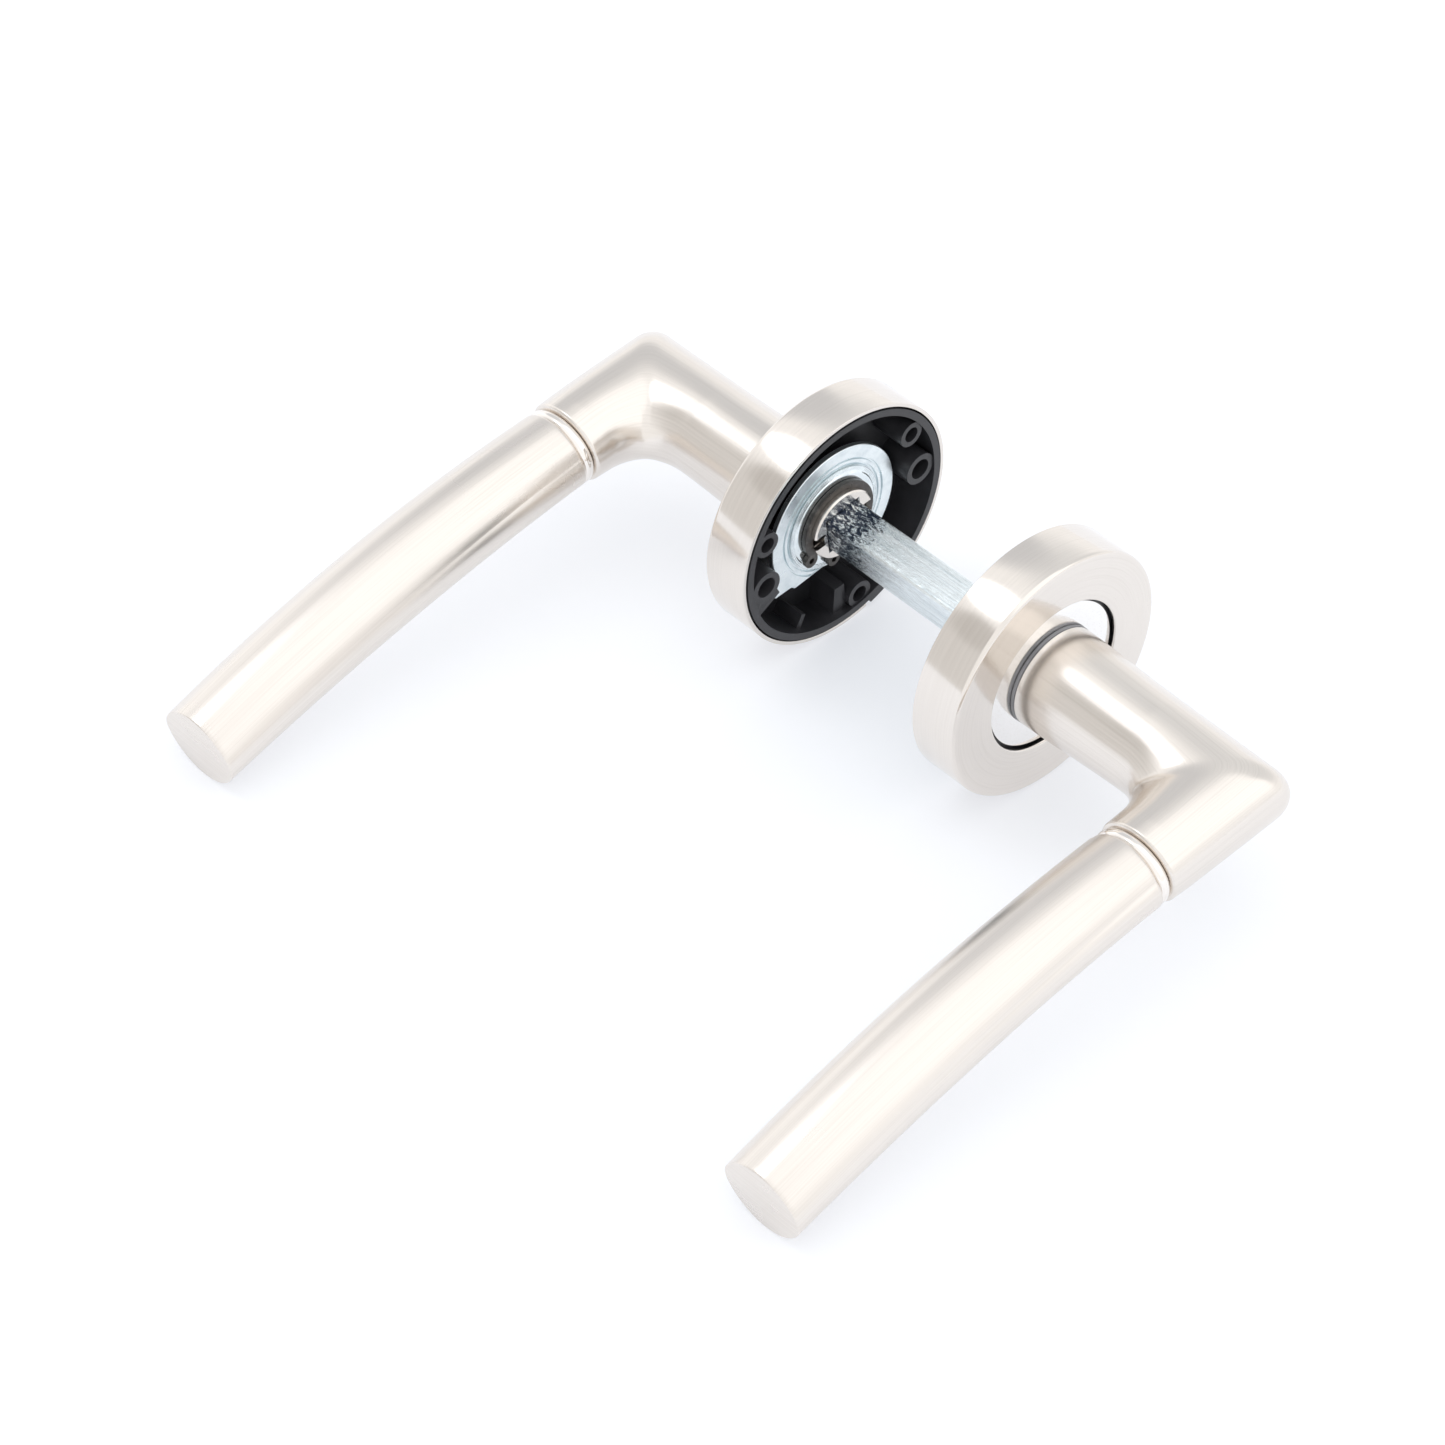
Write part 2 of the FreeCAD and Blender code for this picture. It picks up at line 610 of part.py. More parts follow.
def export(name, shape):
    """Write one closed solid to its own file."""
    solid = shape.Solids[0] if len(shape.Solids) == 1 else shape
    print(name, solid.ShapeType, len(shape.Solids), solid.isValid(), round(solid.Volume, 1))
    solid.exportStep("parts/" + name + ".step")


def main():
    os.makedirs("parts", exist_ok=True)
    export("spindle", spindle())
    for name, make in SIDE_PARTS.items():
        right = make()
        export("right_" + name, right)
        export("left_" + name, right.mirror(V(0, 0, 0), X_AXIS))


main()
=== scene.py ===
import math

import bmesh
import bpy
import numpy as np
from mathutils import Matrix, Vector


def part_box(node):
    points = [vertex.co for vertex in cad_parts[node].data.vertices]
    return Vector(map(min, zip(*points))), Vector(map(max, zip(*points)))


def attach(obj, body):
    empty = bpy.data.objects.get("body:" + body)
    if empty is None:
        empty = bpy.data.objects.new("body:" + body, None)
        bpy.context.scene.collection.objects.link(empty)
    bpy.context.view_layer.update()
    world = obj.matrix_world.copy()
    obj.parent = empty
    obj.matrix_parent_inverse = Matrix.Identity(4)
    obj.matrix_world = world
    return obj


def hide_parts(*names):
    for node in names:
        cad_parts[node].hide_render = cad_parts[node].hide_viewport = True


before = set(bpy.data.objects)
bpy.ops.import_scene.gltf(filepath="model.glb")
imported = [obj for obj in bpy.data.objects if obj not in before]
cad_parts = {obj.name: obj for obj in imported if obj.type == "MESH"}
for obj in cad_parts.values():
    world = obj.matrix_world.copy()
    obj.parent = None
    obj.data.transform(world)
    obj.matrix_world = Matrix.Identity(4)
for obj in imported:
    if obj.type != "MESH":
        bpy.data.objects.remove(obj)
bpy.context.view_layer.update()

bl_info = {
    "name": "Door Lever Handle Set",
    "version": (1, 0, 0),
    "blender": (4, 5, 0),
    "location": "3D View > Sidebar > Handle",
    "description": "Builds a pair of lever door handles on round roses with their square spindle",
    "category": "Add Mesh",
}

# Every length is in metres. The spindle lies along X, the levers point along -Y and Z is up.
# The right-hand half is drawn and the left-hand half is its mirror image in X.
MM = 0.001
HALVES = (("left", -1), ("right", 1))
ROUND = 128
COVER_ROUND = 240
FULL_TURN = 2 * math.pi
QUARTER_TURN = math.pi / 2
SHARP_DEGREES = 32.0
WIRE_SHARP_DEGREES = 60.0
MERGE_DISTANCE = 1e-7
CAD_MERGE_DISTANCE = 1e-6
FLAT_DEGREES = 0.4
BEVEL_SEGMENTS = 2


# ---------------------------------------------------------------- user settings

def length(name, description, metres):
    """Size setting, shown as a distance."""
    return bpy.props.FloatProperty(name=name, description=description, default=metres,
                                   subtype="DISTANCE", unit="LENGTH", precision=5)


def number(name, description, value):
    """Plain number setting."""
    return bpy.props.FloatProperty(name=name, description=description, default=value)


def angle(name, description, degrees):
    """Angle setting."""
    return bpy.props.FloatProperty(name=name, description=description, default=math.radians(degrees),
                                   subtype="ANGLE", unit="ROTATION")


def colour(name, description, red, green, blue):
    """Colour setting."""
    return bpy.props.FloatVectorProperty(name=name, description=description, subtype="COLOR", size=3,
                                         default=(red, green, blue), min=0.0, max=1.0)


def low(node, axis):
    """Lowest coordinate of a frame node."""
    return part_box("right_" + node)[0][axis]


def high(node, axis):
    """Highest coordinate of a frame node."""
    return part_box("right_" + node)[1][axis]


DOOR_HALF = low("rose_base", 0)


class HandleLeverSizes(bpy.types.PropertyGroup):
    """Sizes of the spindle, elbow, ring and grip."""
    spindle_side: length("Spindle side", "Width across the flats of the square bar", 8.0 * MM)
    spindle_corner: length("Spindle corner", "Radius of the bar's long corners", 0.9 * MM)
    spigot_radius: length("Spigot radius", "Radius of the lever's end that turns in the rose", 7.4 * MM)
    neck_radius: length("Neck radius", "Radius of the neck where it leaves the rose", 10.4 * MM)
    grip_axis_out: length("Projection", "Distance of the grip's centre line from the door", 52.9 * MM)
    neck_half_y: length("Elbow half width", "Half width of the neck at the corner", 9.9 * MM)
    neck_half_z: length("Elbow half height", "Half height of the neck at the corner", 9.5 * MM)
    arm_half_x: length("Arm half width", "Half width of the arm after the corner", 9.3 * MM)
    arm_half_z: length("Arm half height", "Half height of the arm after the corner", 8.2 * MM)
    inner_radius: length("Inner corner", "Radius of the elbow's inner corner", 8.0 * MM)
    outer_radius: length("Outer corner", "Radius of the elbow's outer corner", 4.2 * MM)
    arch_radius: length("Arch radius", "Radius of the grip's centre line, seen from the side", 0.36)
    arch_start: angle("Arch start", "Slope of the centre line at the neck, upwards when negative", -6.4)
    ring_along: length("Ring place", "Distance of the trim ring from the neck along the lever", 23.5 * MM)
    ring_width: length("Ring width", "Width of the trim ring", 2.6 * MM)
    ring_inset: length("Ring inset", "Depth of the trim ring below the grip's surface", 0.5 * MM)
    grip_length: length("Grip end", "Distance of the grip's end from the neck along the lever", 115.8 * MM)


class HandleRoseSizes(bpy.types.PropertyGroup):
    """Sizes of the rose cover, face disc and neck washer."""
    cover_radius: length("Cover radius", "Outer radius of the pressed cover", high("rose_cover", 1))
    cover_wall: length("Cover wall", "Thickness of the pressed metal", 0.8 * MM)
    cover_edge: length("Cover edge", "Radius of the cover's front edge", 0.9 * MM)
    opening_radius: length("Opening radius", "Radius of the hole in the cover's face", 16.0 * MM)
    disc_radius: length("Disc radius", "Outer radius of the bright disc", high("face_disc", 1))
    washer_radius: length("Neck washer radius", "Outer radius of the dark ring", 10.45 * MM)
    plastic_edge: length("Plastic edge", "Softening of the moulded base's edges", 0.16 * MM)


class HandleMechanismSizes(bpy.types.PropertyGroup):
    """Sizes of the return mechanism behind each rose."""
    wire_radius: length("Spring wire", "Radius of the return spring's wire", 0.45 * MM)
    coil_radius: length("Spring coil", "Radius of the return spring's coil", 10.7 * MM)
    coil_pitch: length("Spring pitch", "Distance between two turns of the spring", 1.05 * MM)
    coil_turns: number("Spring turns", "Number of turns of the return spring", 1.9)
    coil_start: angle("Spring start", "Place round the spindle where the spring's coil starts", 252.0)
    leg_length: length("Spring leg", "Length of each straight leg", 9.0 * MM)
    washer_radius: length("Thrust washer", "Outer radius of the dished washer", high("thrust_washer", 1))
    rim_radius: length("Washer rim", "Radius where the washer's flat rim starts", 10.2 * MM)
    plate_edge: length("Plate edge", "Softening of the stamped plates' edges", 0.1 * MM)
    ridge_radius: length("Ridge size", "Radius of the turned ridges on the plates", 0.06 * MM)


class HandleFinishes(bpy.types.PropertyGroup):
    """Colours of the finishes."""
    nickel: colour("Satin nickel", "Warm brushed metal of levers and roses", 0.80, 0.755, 0.71)
    nickel_dark: colour("Brushing", "Darker tone in the brushing of the satin nickel", 0.60, 0.55, 0.50)
    polished: colour("Polished nickel", "Trim rings", 0.90, 0.86, 0.82)
    disc: colour("Bright nickel", "Discs in the roses", 0.93, 0.92, 0.91)
    zinc: colour("Zinc", "Bluish plating of spindle, cam plates and washers", 0.86, 0.92, 0.94)
    zinc_dark: colour("Zinc shadow", "Dull spots in the zinc plating", 0.62, 0.70, 0.74)
    zinc_blued: colour("Blued steel", "Dark patches where the spindle leaves the left neck",
                       0.032, 0.045, 0.075)
    black_nylon: colour("Black nylon", "Moulded bases", 0.020, 0.020, 0.023)
    grey_nylon: colour("Grey nylon", "Neck washers", 0.20, 0.20, 0.21)
    black_steel: colour("Blackened steel", "Circlips and grub screws", 0.075, 0.070, 0.066)
    spring_steel: colour("Spring steel", "Return springs", 0.45, 0.43, 0.40)


class HandleStageSettings(bpy.types.PropertyGroup):
    """Camera, floor and light."""
    azimuth: angle("Camera azimuth", "Turn of the camera round the handle", 46.607)
    elevation: angle("Camera elevation", "Height of the camera above the levers' plane", 45.381)
    distance: length("Camera distance", "Distance of the camera from the view's centre plane", 1.172875)
    lens: number("Lens", "Focal length in millimetres", 158.608)
    aside: length("Shift aside", "Place of the view's centre, along the picture's width", 37.899 * MM)
    above: length("Shift above", "Place of the view's centre, along the picture's height", 25.26 * MM)
    floor: colour("Floor", "Pale floor", 0.55, 0.555, 0.565)
    floor_glow: colour("Floor glow", "Light that keeps the shadows on the floor pale and cool",
                       0.43, 0.445, 0.475)
    sky: number("Studio brightness", "Brightness of the white studio walls", 1.12)


SETTINGS = (HandleLeverSizes, HandleRoseSizes, HandleMechanismSizes, HandleFinishes, HandleStageSettings)


def setting(group):
    """One of the scene's setting groups."""
    return getattr(bpy.context.scene, group)


# ---------------------------------------------------------------- meshes

def out(distance):
    """X of a plane a given distance from the right-hand door face."""
    return DOOR_HALF + distance


def row(*values):
    """Vector of floats."""
    return np.array(values, float)


def smooth_by_angle(mesh, degrees=SHARP_DEGREES):
    """Smooth shading with sharp edges kept sharp."""
    mesh.shade_smooth()
    mesh.set_sharp_from_angle(angle=math.radians(degrees))


def skin(name, rings, closed=False, caps=True):
    """Mesh through rings of points; its UV runs along the rings in order and around them, in metres."""
    rings = [np.asarray(ring, float) for ring in rings]
    total, count = len(rings), len(rings[0])
    points = np.concatenate(rings)
    along = [0.0]
    for i in range(1, total + 1):
        step = np.linalg.norm(rings[i % total] - rings[i - 1], axis=1).mean()
        along.append(along[-1] + step)
    widest = max(rings, key=lambda ring: np.linalg.norm(ring - np.roll(ring, 1, 0), axis=1).sum())
    around = np.concatenate([[0.0], np.linalg.norm(np.roll(widest, -1, 0) - widest, axis=1).cumsum()])
    faces, places = [], []
    for i in range(total if closed else total - 1):
        j = (i + 1) % total
        for k in range(count):
            n = (k + 1) % count
            faces.append((i * count + k, i * count + n, j * count + n, j * count + k))
            places += [(along[i], around[k]), (along[i], around[k + 1]),
                       (along[i + 1], around[k + 1]), (along[i + 1], around[k])]
    if caps and not closed:
        for face in (tuple(range(count))[::-1], tuple(range((total - 1) * count, total * count))):
            faces.append(face)
            places += [(points[i][0] + points[i][1], points[i][2]) for i in face]
    mesh = bpy.data.meshes.new(name)
    mesh.from_pydata([tuple(point) for point in points], [], faces)
    layer = mesh.uv_layers.new(name="surface")
    layer.data.foreach_set("uv", np.array(places, np.float32).ravel())
    return mesh


def tidy(mesh, side=1, degrees=SHARP_DEGREES):
    """Mesh mirrored for the left half, merged, turned outwards and shaded."""
    work = bmesh.new()
    work.from_mesh(mesh)
    for vertex in work.verts:
        vertex.co.x *= side
    bmesh.ops.remove_doubles(work, verts=work.verts, dist=MERGE_DISTANCE)
    bmesh.ops.recalc_face_normals(work, faces=work.faces)
    work.to_mesh(mesh)
    work.free()
    smooth_by_angle(mesh, degrees)
    return mesh


def joined(name, meshes):
    """One mesh of several closed ones."""
    work = bmesh.new()
    for mesh in meshes:
        work.from_mesh(mesh)
        bpy.data.meshes.remove(mesh)
    whole = bpy.data.meshes.new(name)
    work.to_mesh(whole)
    work.free()
    return whole


def rounded(profile, radii, steps=6):
    """Closed outline of straight runs with its corners rounded."""
    points = []
    count = len(profile)
    for i, (corner, radius) in enumerate(zip(profile, radii)):
        here = row(*corner)
        if radius <= 0:
            points.append(here)
            continue
        before = row(*profile[i - 1]) - here
        after = row(*profile[(i + 1) % count]) - here
        before /= np.linalg.norm(before)
        after /= np.linalg.norm(after)
        half = math.acos(max(-1.0, min(1.0, before @ after))) / 2
        reach = radius / math.tan(half)
        middle = (before + after) / np.linalg.norm(before + after)
        centre = here + middle * (radius / math.sin(half))
        start, end = here + before * reach - centre, here + after * reach - centre
        turn = math.pi - 2 * half
        for k in range(steps + 1):
            share = k / steps
            mix = (math.sin((1 - share) * turn) * start + math.sin(share * turn) * end) / math.sin(turn)
            points.append(centre + mix)
    return points


def turned(name, outline, y=0.0, z=0.0, count=ROUND):
    """Ring turned about a line along X; the outline holds pairs of distance out and radius."""
    angles = [FULL_TURN * k / count for k in range(count)]
    rings = []
    for place, radius in outline:
        rings.append([(out(place), y + radius * math.cos(a), z + radius * math.sin(a)) for a in angles])
    return skin(name, rings, closed=True)


def piece(name, mesh, body, node, material, bevel=0.0):
    """Finished object that stands for a frame node and moves with its body."""
    thing = bpy.data.objects.new(name, mesh)
    bpy.context.scene.collection.objects.link(thing)
    mesh.materials.clear()
    mesh.materials.append(material)
    if bevel:
        soften = thing.modifiers.new("Softened edges", "BEVEL")
        soften.width = bevel
        soften.segments = BEVEL_SEGMENTS
        soften.limit_method = "ANGLE"
        soften.angle_limit = math.radians(SHARP_DEGREES)
        soften.harden_normals = True
    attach(thing, body)
    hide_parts(node)
    return thing


def softened_copy(node):
    """Merged copy of a frame node's mesh, with its flat faces made whole."""
    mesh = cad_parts[node].data.copy()
    work = bmesh.new()
    work.from_mesh(mesh)
    bmesh.ops.remove_doubles(work, verts=work.verts, dist=CAD_MERGE_DISTANCE)
    bmesh.ops.dissolve_limit(work, angle_limit=math.radians(FLAT_DEGREES), verts=work.verts, edges=work.edges)
    work.to_mesh(mesh)
    work.free()
    smooth_by_angle(mesh)
    return mesh


# ---------------------------------------------------------------- finishes

# The mix node has one set of sockets per kind of value; these are the colour ones.
COLOUR_INPUTS = (6, 7)
COLOUR_OUTPUT = 2
NOISE_LOW = 0.3
NOISE_HIGH = 0.7


class Finish:
    """Procedural material built step by step."""

    def __init__(self, name, base, metallic, roughness):
        self.material = bpy.data.materials.new(name)
        self.material.use_nodes = True
        self.tree = self.material.node_tree
        self.shader = self.tree.nodes["Principled BSDF"]
        self.shader.inputs["Base Color"].default_value = (*base, 1)
        self.shader.inputs["Metallic"].default_value = metallic
        self.shader.inputs["Roughness"].default_value = roughness
        self.last_bump = None

    def node(self, kind, **options):
        """New node with its options set."""
        made = self.tree.nodes.new(kind)
        for key, value in options.items():
            setattr(made, key, value)
        return made

    def link(self, source, target):
        """Connect two sockets."""
        self.tree.links.new(source, target)

    def coordinates(self, along_surface, scale):
        """Surface or object coordinates, stretched by a scale along each axis."""
        if along_surface:
            source = self.node("ShaderNodeUVMap", uv_map="surface").outputs["UV"]
        else:
            source = self.node("ShaderNodeTexCoord").outputs["Object"]
        mapping = self.node("ShaderNodeMapping")
        mapping.inputs["Scale"].default_value = scale
        self.link(source, mapping.inputs["Vector"])
        return mapping.outputs["Vector"]

    def noise(self, along_surface, scale, detail=2.0, rough=0.5, distortion=0.0):
        """Noise with its own stretch."""
        made = self.node("ShaderNodeTexNoise")
        made.inputs["Scale"].default_value = 1.0
        made.inputs["Detail"].default_value = detail
        made.inputs["Roughness"].default_value = rough
        made.inputs["Distortion"].default_value = distortion
        self.link(self.coordinates(along_surface, scale), made.inputs["Vector"])
        return made.outputs["Fac"]

    def between(self, value, low_in, high_in, low_out=0.0, high_out=1.0):
        """Value carried from one range to another."""
        made = self.node("ShaderNodeMapRange")
        for socket, level in (("From Min", low_in), ("From Max", high_in),
                              ("To Min", low_out), ("To Max", high_out)):
            made.inputs[socket].default_value = level
        self.link(value, made.inputs["Value"])
        return made.outputs["Result"]

    def mixed(self, value, first, second):
        """Colour between two, each a colour or the result of another node."""
        made = self.node("ShaderNodeMix", data_type="RGBA")
        for socket, colour_or_result in zip(COLOUR_INPUTS, (first, second)):
            if isinstance(colour_or_result, bpy.types.NodeSocket):
                self.link(colour_or_result, made.inputs[socket])
            else:
                made.inputs[socket].default_value = (*colour_or_result, 1)
        self.link(value, made.inputs["Factor"])
        return made.outputs[COLOUR_OUTPUT]

    def tint(self, value, first, second):
        """Base colour mixed from two colours."""
        self.link(self.mixed(value, first, second), self.shader.inputs["Base Color"])

    def rough(self, pattern, smoothest, roughest):
        """Roughness that follows a noise pattern."""
        spread_out = self.between(pattern, NOISE_LOW, NOISE_HIGH, smoothest, roughest)
        self.link(spread_out, self.shader.inputs["Roughness"])

    def bump(self, value, strength, height):
        """Relief added on top of what is already there."""
        made = self.node("ShaderNodeBump")
        made.inputs["Strength"].default_value = strength
        made.inputs["Distance"].default_value = height
        self.link(value, made.inputs["Height"])
        if self.last_bump:
            self.link(self.last_bump, made.inputs["Normal"])
        self.last_bump = made.outputs["Normal"]
        self.link(self.last_bump, self.shader.inputs["Normal"])


MADE = {}


def finish_for(part):
    """Material of a kind of part, made once."""
    if part not in MADE:
        MADE[part] = FINISHES[part]()
    return MADE[part]


def even(scale):
    """The same scale along all three axes."""
    return scale, scale, scale


def satin_lever(name, streak, rough_low, rough_high):
    """Brushed warm nickel with fine lines along the lever."""
    tones = setting("handle_finishes")
    made = Finish(name, tones.nickel, 1.0, rough_low)
    lines = made.noise(True, (20, 2100, 1), 3.0, 0.75)
    cloud = made.noise(False, even(40), 3.0, 0.6)
    made.tint(made.between(lines, 0.45, 0.75, 0.0, streak), tones.nickel, tones.nickel_dark)
    made.rough(cloud, rough_low, rough_high)
    made.bump(lines, 0.26, 0.00005)
    return made.material


def satin_rose():
    """Circumferentially brushed nickel, shinier than the lever."""
    tones = setting("handle_finishes")
    made = Finish("Rose satin nickel", tones.nickel, 1.0, 0.12)
    lines = made.noise(True, (2400, 26, 1), 3.0, 0.6)
    wander = made.noise(False, even(60), 2.0, 0.5)
    made.tint(made.between(lines, 0.45, 0.85, 0.0, 0.25), tones.nickel, tones.nickel_dark)
    made.rough(wander, 0.09, 0.15)
    made.bump(lines, 0.10, 0.00004)
    made.bump(made.noise(True, (700, 160, 1), 3.0, 0.6), 0.10, 0.00008)
    return made.material


def polished_ring():
    """Polished bead with faint turning lines."""
    tones = setting("handle_finishes")
    made = Finish("Trim polished nickel", tones.polished, 1.0, 0.07)
    lines = made.noise(True, (3000, 30, 1), 2.0, 0.5)
    made.tint(made.between(lines, 0.5, 0.9, 0.0, 0.2), tones.polished, tones.nickel_dark)
    made.rough(lines, 0.05, 0.10)
    made.bump(lines, 0.04, 0.00002)
    return made.material


def bright_disc():
    """Bright plated disc with a fine grain."""
    tones = setting("handle_finishes")
    made = Finish("Disc bright nickel", tones.disc, 1.0, 0.2)
    grain = made.noise(False, even(3000), 2.0, 0.6)
    cloud = made.noise(False, even(150), 3.0, 0.6)
    made.tint(made.between(grain, 0.55, 0.8, 0.0, 0.35), tones.disc, tones.nickel_dark)
    made.rough(cloud, 0.08, 0.14)
    made.bump(grain, 0.05, 0.00004)
    return made.material


BLUED_END = 11.0 * MM
BLUED_FADE = 5.0 * MM
BLUED_INSIDE = 0.07
BLUED_OUTSIDE = -0.30


def zinc_bar():
    """Drawn square bar: lengthwise streaks under bluish plating, blued and flaking by the left neck."""
    tones = setting("handle_finishes")
    made = Finish("Spindle zinc plate", tones.zinc, 0.95, 0.28)
    streaks = made.noise(False, (45, 1500, 1500), 4.0, 0.75, 0.3)
    flecks = made.noise(False, (600, 1100, 1100), 5.0, 0.8, 1.5)
    apart = made.node("ShaderNodeSeparateXYZ")
    made.link(made.coordinates(False, even(1)), apart.inputs["Vector"])
    edge = -low("lever_elbow", 0) + BLUED_END
    near = made.between(apart.outputs["X"], edge - BLUED_FADE, edge + BLUED_FADE, BLUED_INSIDE, BLUED_OUTSIDE)
    reach = made.node("ShaderNodeMath", operation="ADD")
    made.link(near, reach.inputs[0])
    made.link(flecks, reach.inputs[1])
    plated = made.mixed(made.between(streaks, 0.46, 0.70), tones.zinc, tones.zinc_dark)
    made.tint(made.between(reach.outputs[0], 0.50, 0.56), plated, tones.zinc_blued)
    made.rough(flecks, 0.12, 0.26)
    made.bump(streaks, 0.55, 0.00020)
    made.bump(flecks, 0.55, 0.00022)
    return made.material


def zinc_sheet(name, rough_low, rough_high):
    """Stamped sheet with a mottled bluish plating."""
    tones = setting("handle_finishes")
    made = Finish(name, tones.zinc, 0.95, 0.3)
    cloud = made.noise(False, even(260), 4.0, 0.65)
    grain = made.noise(False, even(2200), 2.0, 0.6)
    made.tint(made.between(cloud, 0.45, 0.8, 0.0, 0.8), tones.zinc, tones.zinc_dark)
    made.rough(cloud, rough_low, rough_high)
    made.bump(grain, 0.04, 0.00003)
    return made.material


def nylon(name, base, rough_low, rough_high):
    """Moulded plastic with a fine spark-eroded grain."""
    made = Finish(name, base, 0.0, rough_low)
    grain = made.noise(False, even(3500), 2.0, 0.6)
    flow = made.noise(False, even(120), 3.0, 0.6, 0.5)
    pale = tuple(min(1.0, level * 1.7 + 0.006) for level in base)
    made.tint(made.between(flow, 0.4, 0.8), base, pale)
    made.rough(flow, rough_low, rough_high)
    made.bump(grain, 0.12, 0.00004)
    return made.material


def dark_steel(name):
    """Oil-blackened steel with worn, browner patches."""
    tones = setting("handle_finishes")
    made = Finish(name, tones.black_steel, 0.9, 0.32)
    wear = made.noise(False, even(500), 4.0, 0.7)
    worn = tuple(level * 2.6 for level in tones.black_steel)
    made.tint(made.between(wear, 0.5, 0.8), tones.black_steel, worn)
    made.rough(wear, 0.24, 0.42)
    made.bump(wear, 0.10, 0.00005)
    return made.material


def spring_wire():
    """Drawn spring wire with lines along it."""
    tones = setting("handle_finishes")
    made = Finish("Spring steel wire", tones.spring_steel, 1.0, 0.28)
    drawn = made.noise(False, even(900), 3.0, 0.6)
    made.tint(made.between(drawn, 0.45, 0.8), tones.spring_steel, tones.black_steel)
    made.rough(drawn, 0.2, 0.36)
    made.bump(drawn, 0.08, 0.00004)
    return made.material


FINISHES = {
    "spindle": zinc_bar,
    "rose_cover": satin_rose,
    "lever_elbow": lambda: satin_lever("Elbow satin nickel", 0.30, 0.19, 0.25),
    "grip": lambda: satin_lever("Grip satin nickel", 0.34, 0.26, 0.33),
    "trim_ring": polished_ring,
    "face_disc": bright_disc,
    "rose_base": lambda: nylon("Base black nylon", setting("handle_finishes").black_nylon, 0.34, 0.46),
    "neck_washer": lambda: nylon("Washer grey nylon", setting("handle_finishes").grey_nylon, 0.4, 0.5),
    "cam_plate": lambda: zinc_sheet("Cam zinc plate", 0.26, 0.36),
    "thrust_washer": lambda: zinc_sheet("Washer zinc plate", 0.10, 0.18),
    "circlip": lambda: dark_steel("Clip black steel"),
    "return_spring": spring_wire,
    "grub_screw": lambda: dark_steel("Screw black steel"),
}


# ---------------------------------------------------------------- lever shapes

def arch_slope(along):
    """Downward slope of the lever's centre line, a distance from the neck's axis."""
    sizes = setting("handle_lever")
    return sizes.arch_start + along / sizes.arch_radius


def arch_place(along):
    """Point, direction and upward vector of the lever's centre line."""
    sizes = setting("handle_lever")
    slope = arch_slope(along)
    y = -sizes.arch_radius * (math.sin(slope) - math.sin(sizes.arch_start))
    z = sizes.arch_radius * (math.cos(slope) - math.cos(sizes.arch_start))
    centre = row(out(sizes.grip_axis_out), y, z)
    return centre, row(0, -math.cos(slope), -math.sin(slope)), row(0, -math.sin(slope), math.cos(slope))


RING_ANGLES = np.arange(ROUND) * FULL_TURN / ROUND
ACROSS = row(1, 0, 0)
SIDEWAYS = row(0, 1, 0)
UPWARDS = row(0, 0, 1)


def oval(centre, side, up, half_side, half_up):
    """Ring of points on an ellipse."""
    across = np.outer(np.cos(RING_ANGLES) * half_side, side)
    return centre + across + np.outer(np.sin(RING_ANGLES) * half_up, up)


def circle(distance, radius):
    """Ring of points about the spindle."""
    return oval(row(out(distance), 0, 0), SIDEWAYS, UPWARDS, radius, radius)


KEYWAY_STEPS = 4
KEYWAY_INNER = 5.1 * MM


def keyed_circle(distance, radius):
    """Circle with a keyway cut at each side."""
    ring = circle(distance, radius)
    half = setting("handle_lever").spigot_radius * math.sin(RING_ANGLES[KEYWAY_STEPS])
    for middle, sign in ((0, 1), (ROUND // 2, -1)):
        for step in range(1 - KEYWAY_STEPS, KEYWAY_STEPS):
            level = half * step / (KEYWAY_STEPS - 1)
            ring[(middle + step) % ROUND] = (out(distance), sign * KEYWAY_INNER, sign * level)
    return ring


def square(distance, half):
    """Ring of points on a square about the spindle, in step with the circles."""
    ring = circle(distance, 1.0)
    flat = np.maximum(np.abs(ring[:, 1]), np.abs(ring[:, 2]))
    ring[:, 1:] *= (half / flat)[:, None]
    return ring


def corner_reach(across, beside, radius, turn):
    """Distance from the inner corner's centre to the elbow's rounded outside."""
    sine, cosine = math.sin(turn), math.cos(turn)
    middle_x, middle_y = beside - radius, across - radius
    if across * sine <= middle_x * cosine:
        return across / cosine
    if beside * cosine <= middle_y * sine:
        return beside / sine
    middle = middle_x * sine + middle_y * cosine
    return middle + math.sqrt(middle ** 2 - middle_x ** 2 - middle_y ** 2 + radius ** 2)


def joint_place():
    """Place of the joint between elbow and grip."""
    return arch_place(setting("handle_lever").ring_along)


JOINT_HALF_X = 9.2 * MM
JOINT_HALF_Z = 7.9 * MM


def joint_oval(offset, inset):
    """Oval at the joint, smaller all round by the inset."""
    centre, direction, up = joint_place()
    return oval(centre + direction * offset, ACROSS, up, JOINT_HALF_X - inset, JOINT_HALF_Z - inset)


TENON_INSET = 3.6 * MM
TENON_LENGTH = 14.0 * MM
LIP = 0.7 * MM
SOCKET_HALF = 4.1 * MM
SOCKET_DEPTH = 41.0 * MM
SOCKET_MOUTH = 0.25 * MM
NECK_START = 10.45 * MM
NECK_EDGE = 0.25 * MM
NECK_EDGE_STEPS = 4
NECK_STEPS = 26
SPIGOT_END = 0.2 * MM
SPIGOT_CHAMFER = 0.3 * MM
GROOVE_NEAR = 1.4 * MM
GROOVE_FAR = 2.5 * MM
GROOVE_DEPTH = 0.6 * MM
KEYWAY_END = 5.0 * MM
CORNER_STEPS = 60
ARM_STEPS = 5


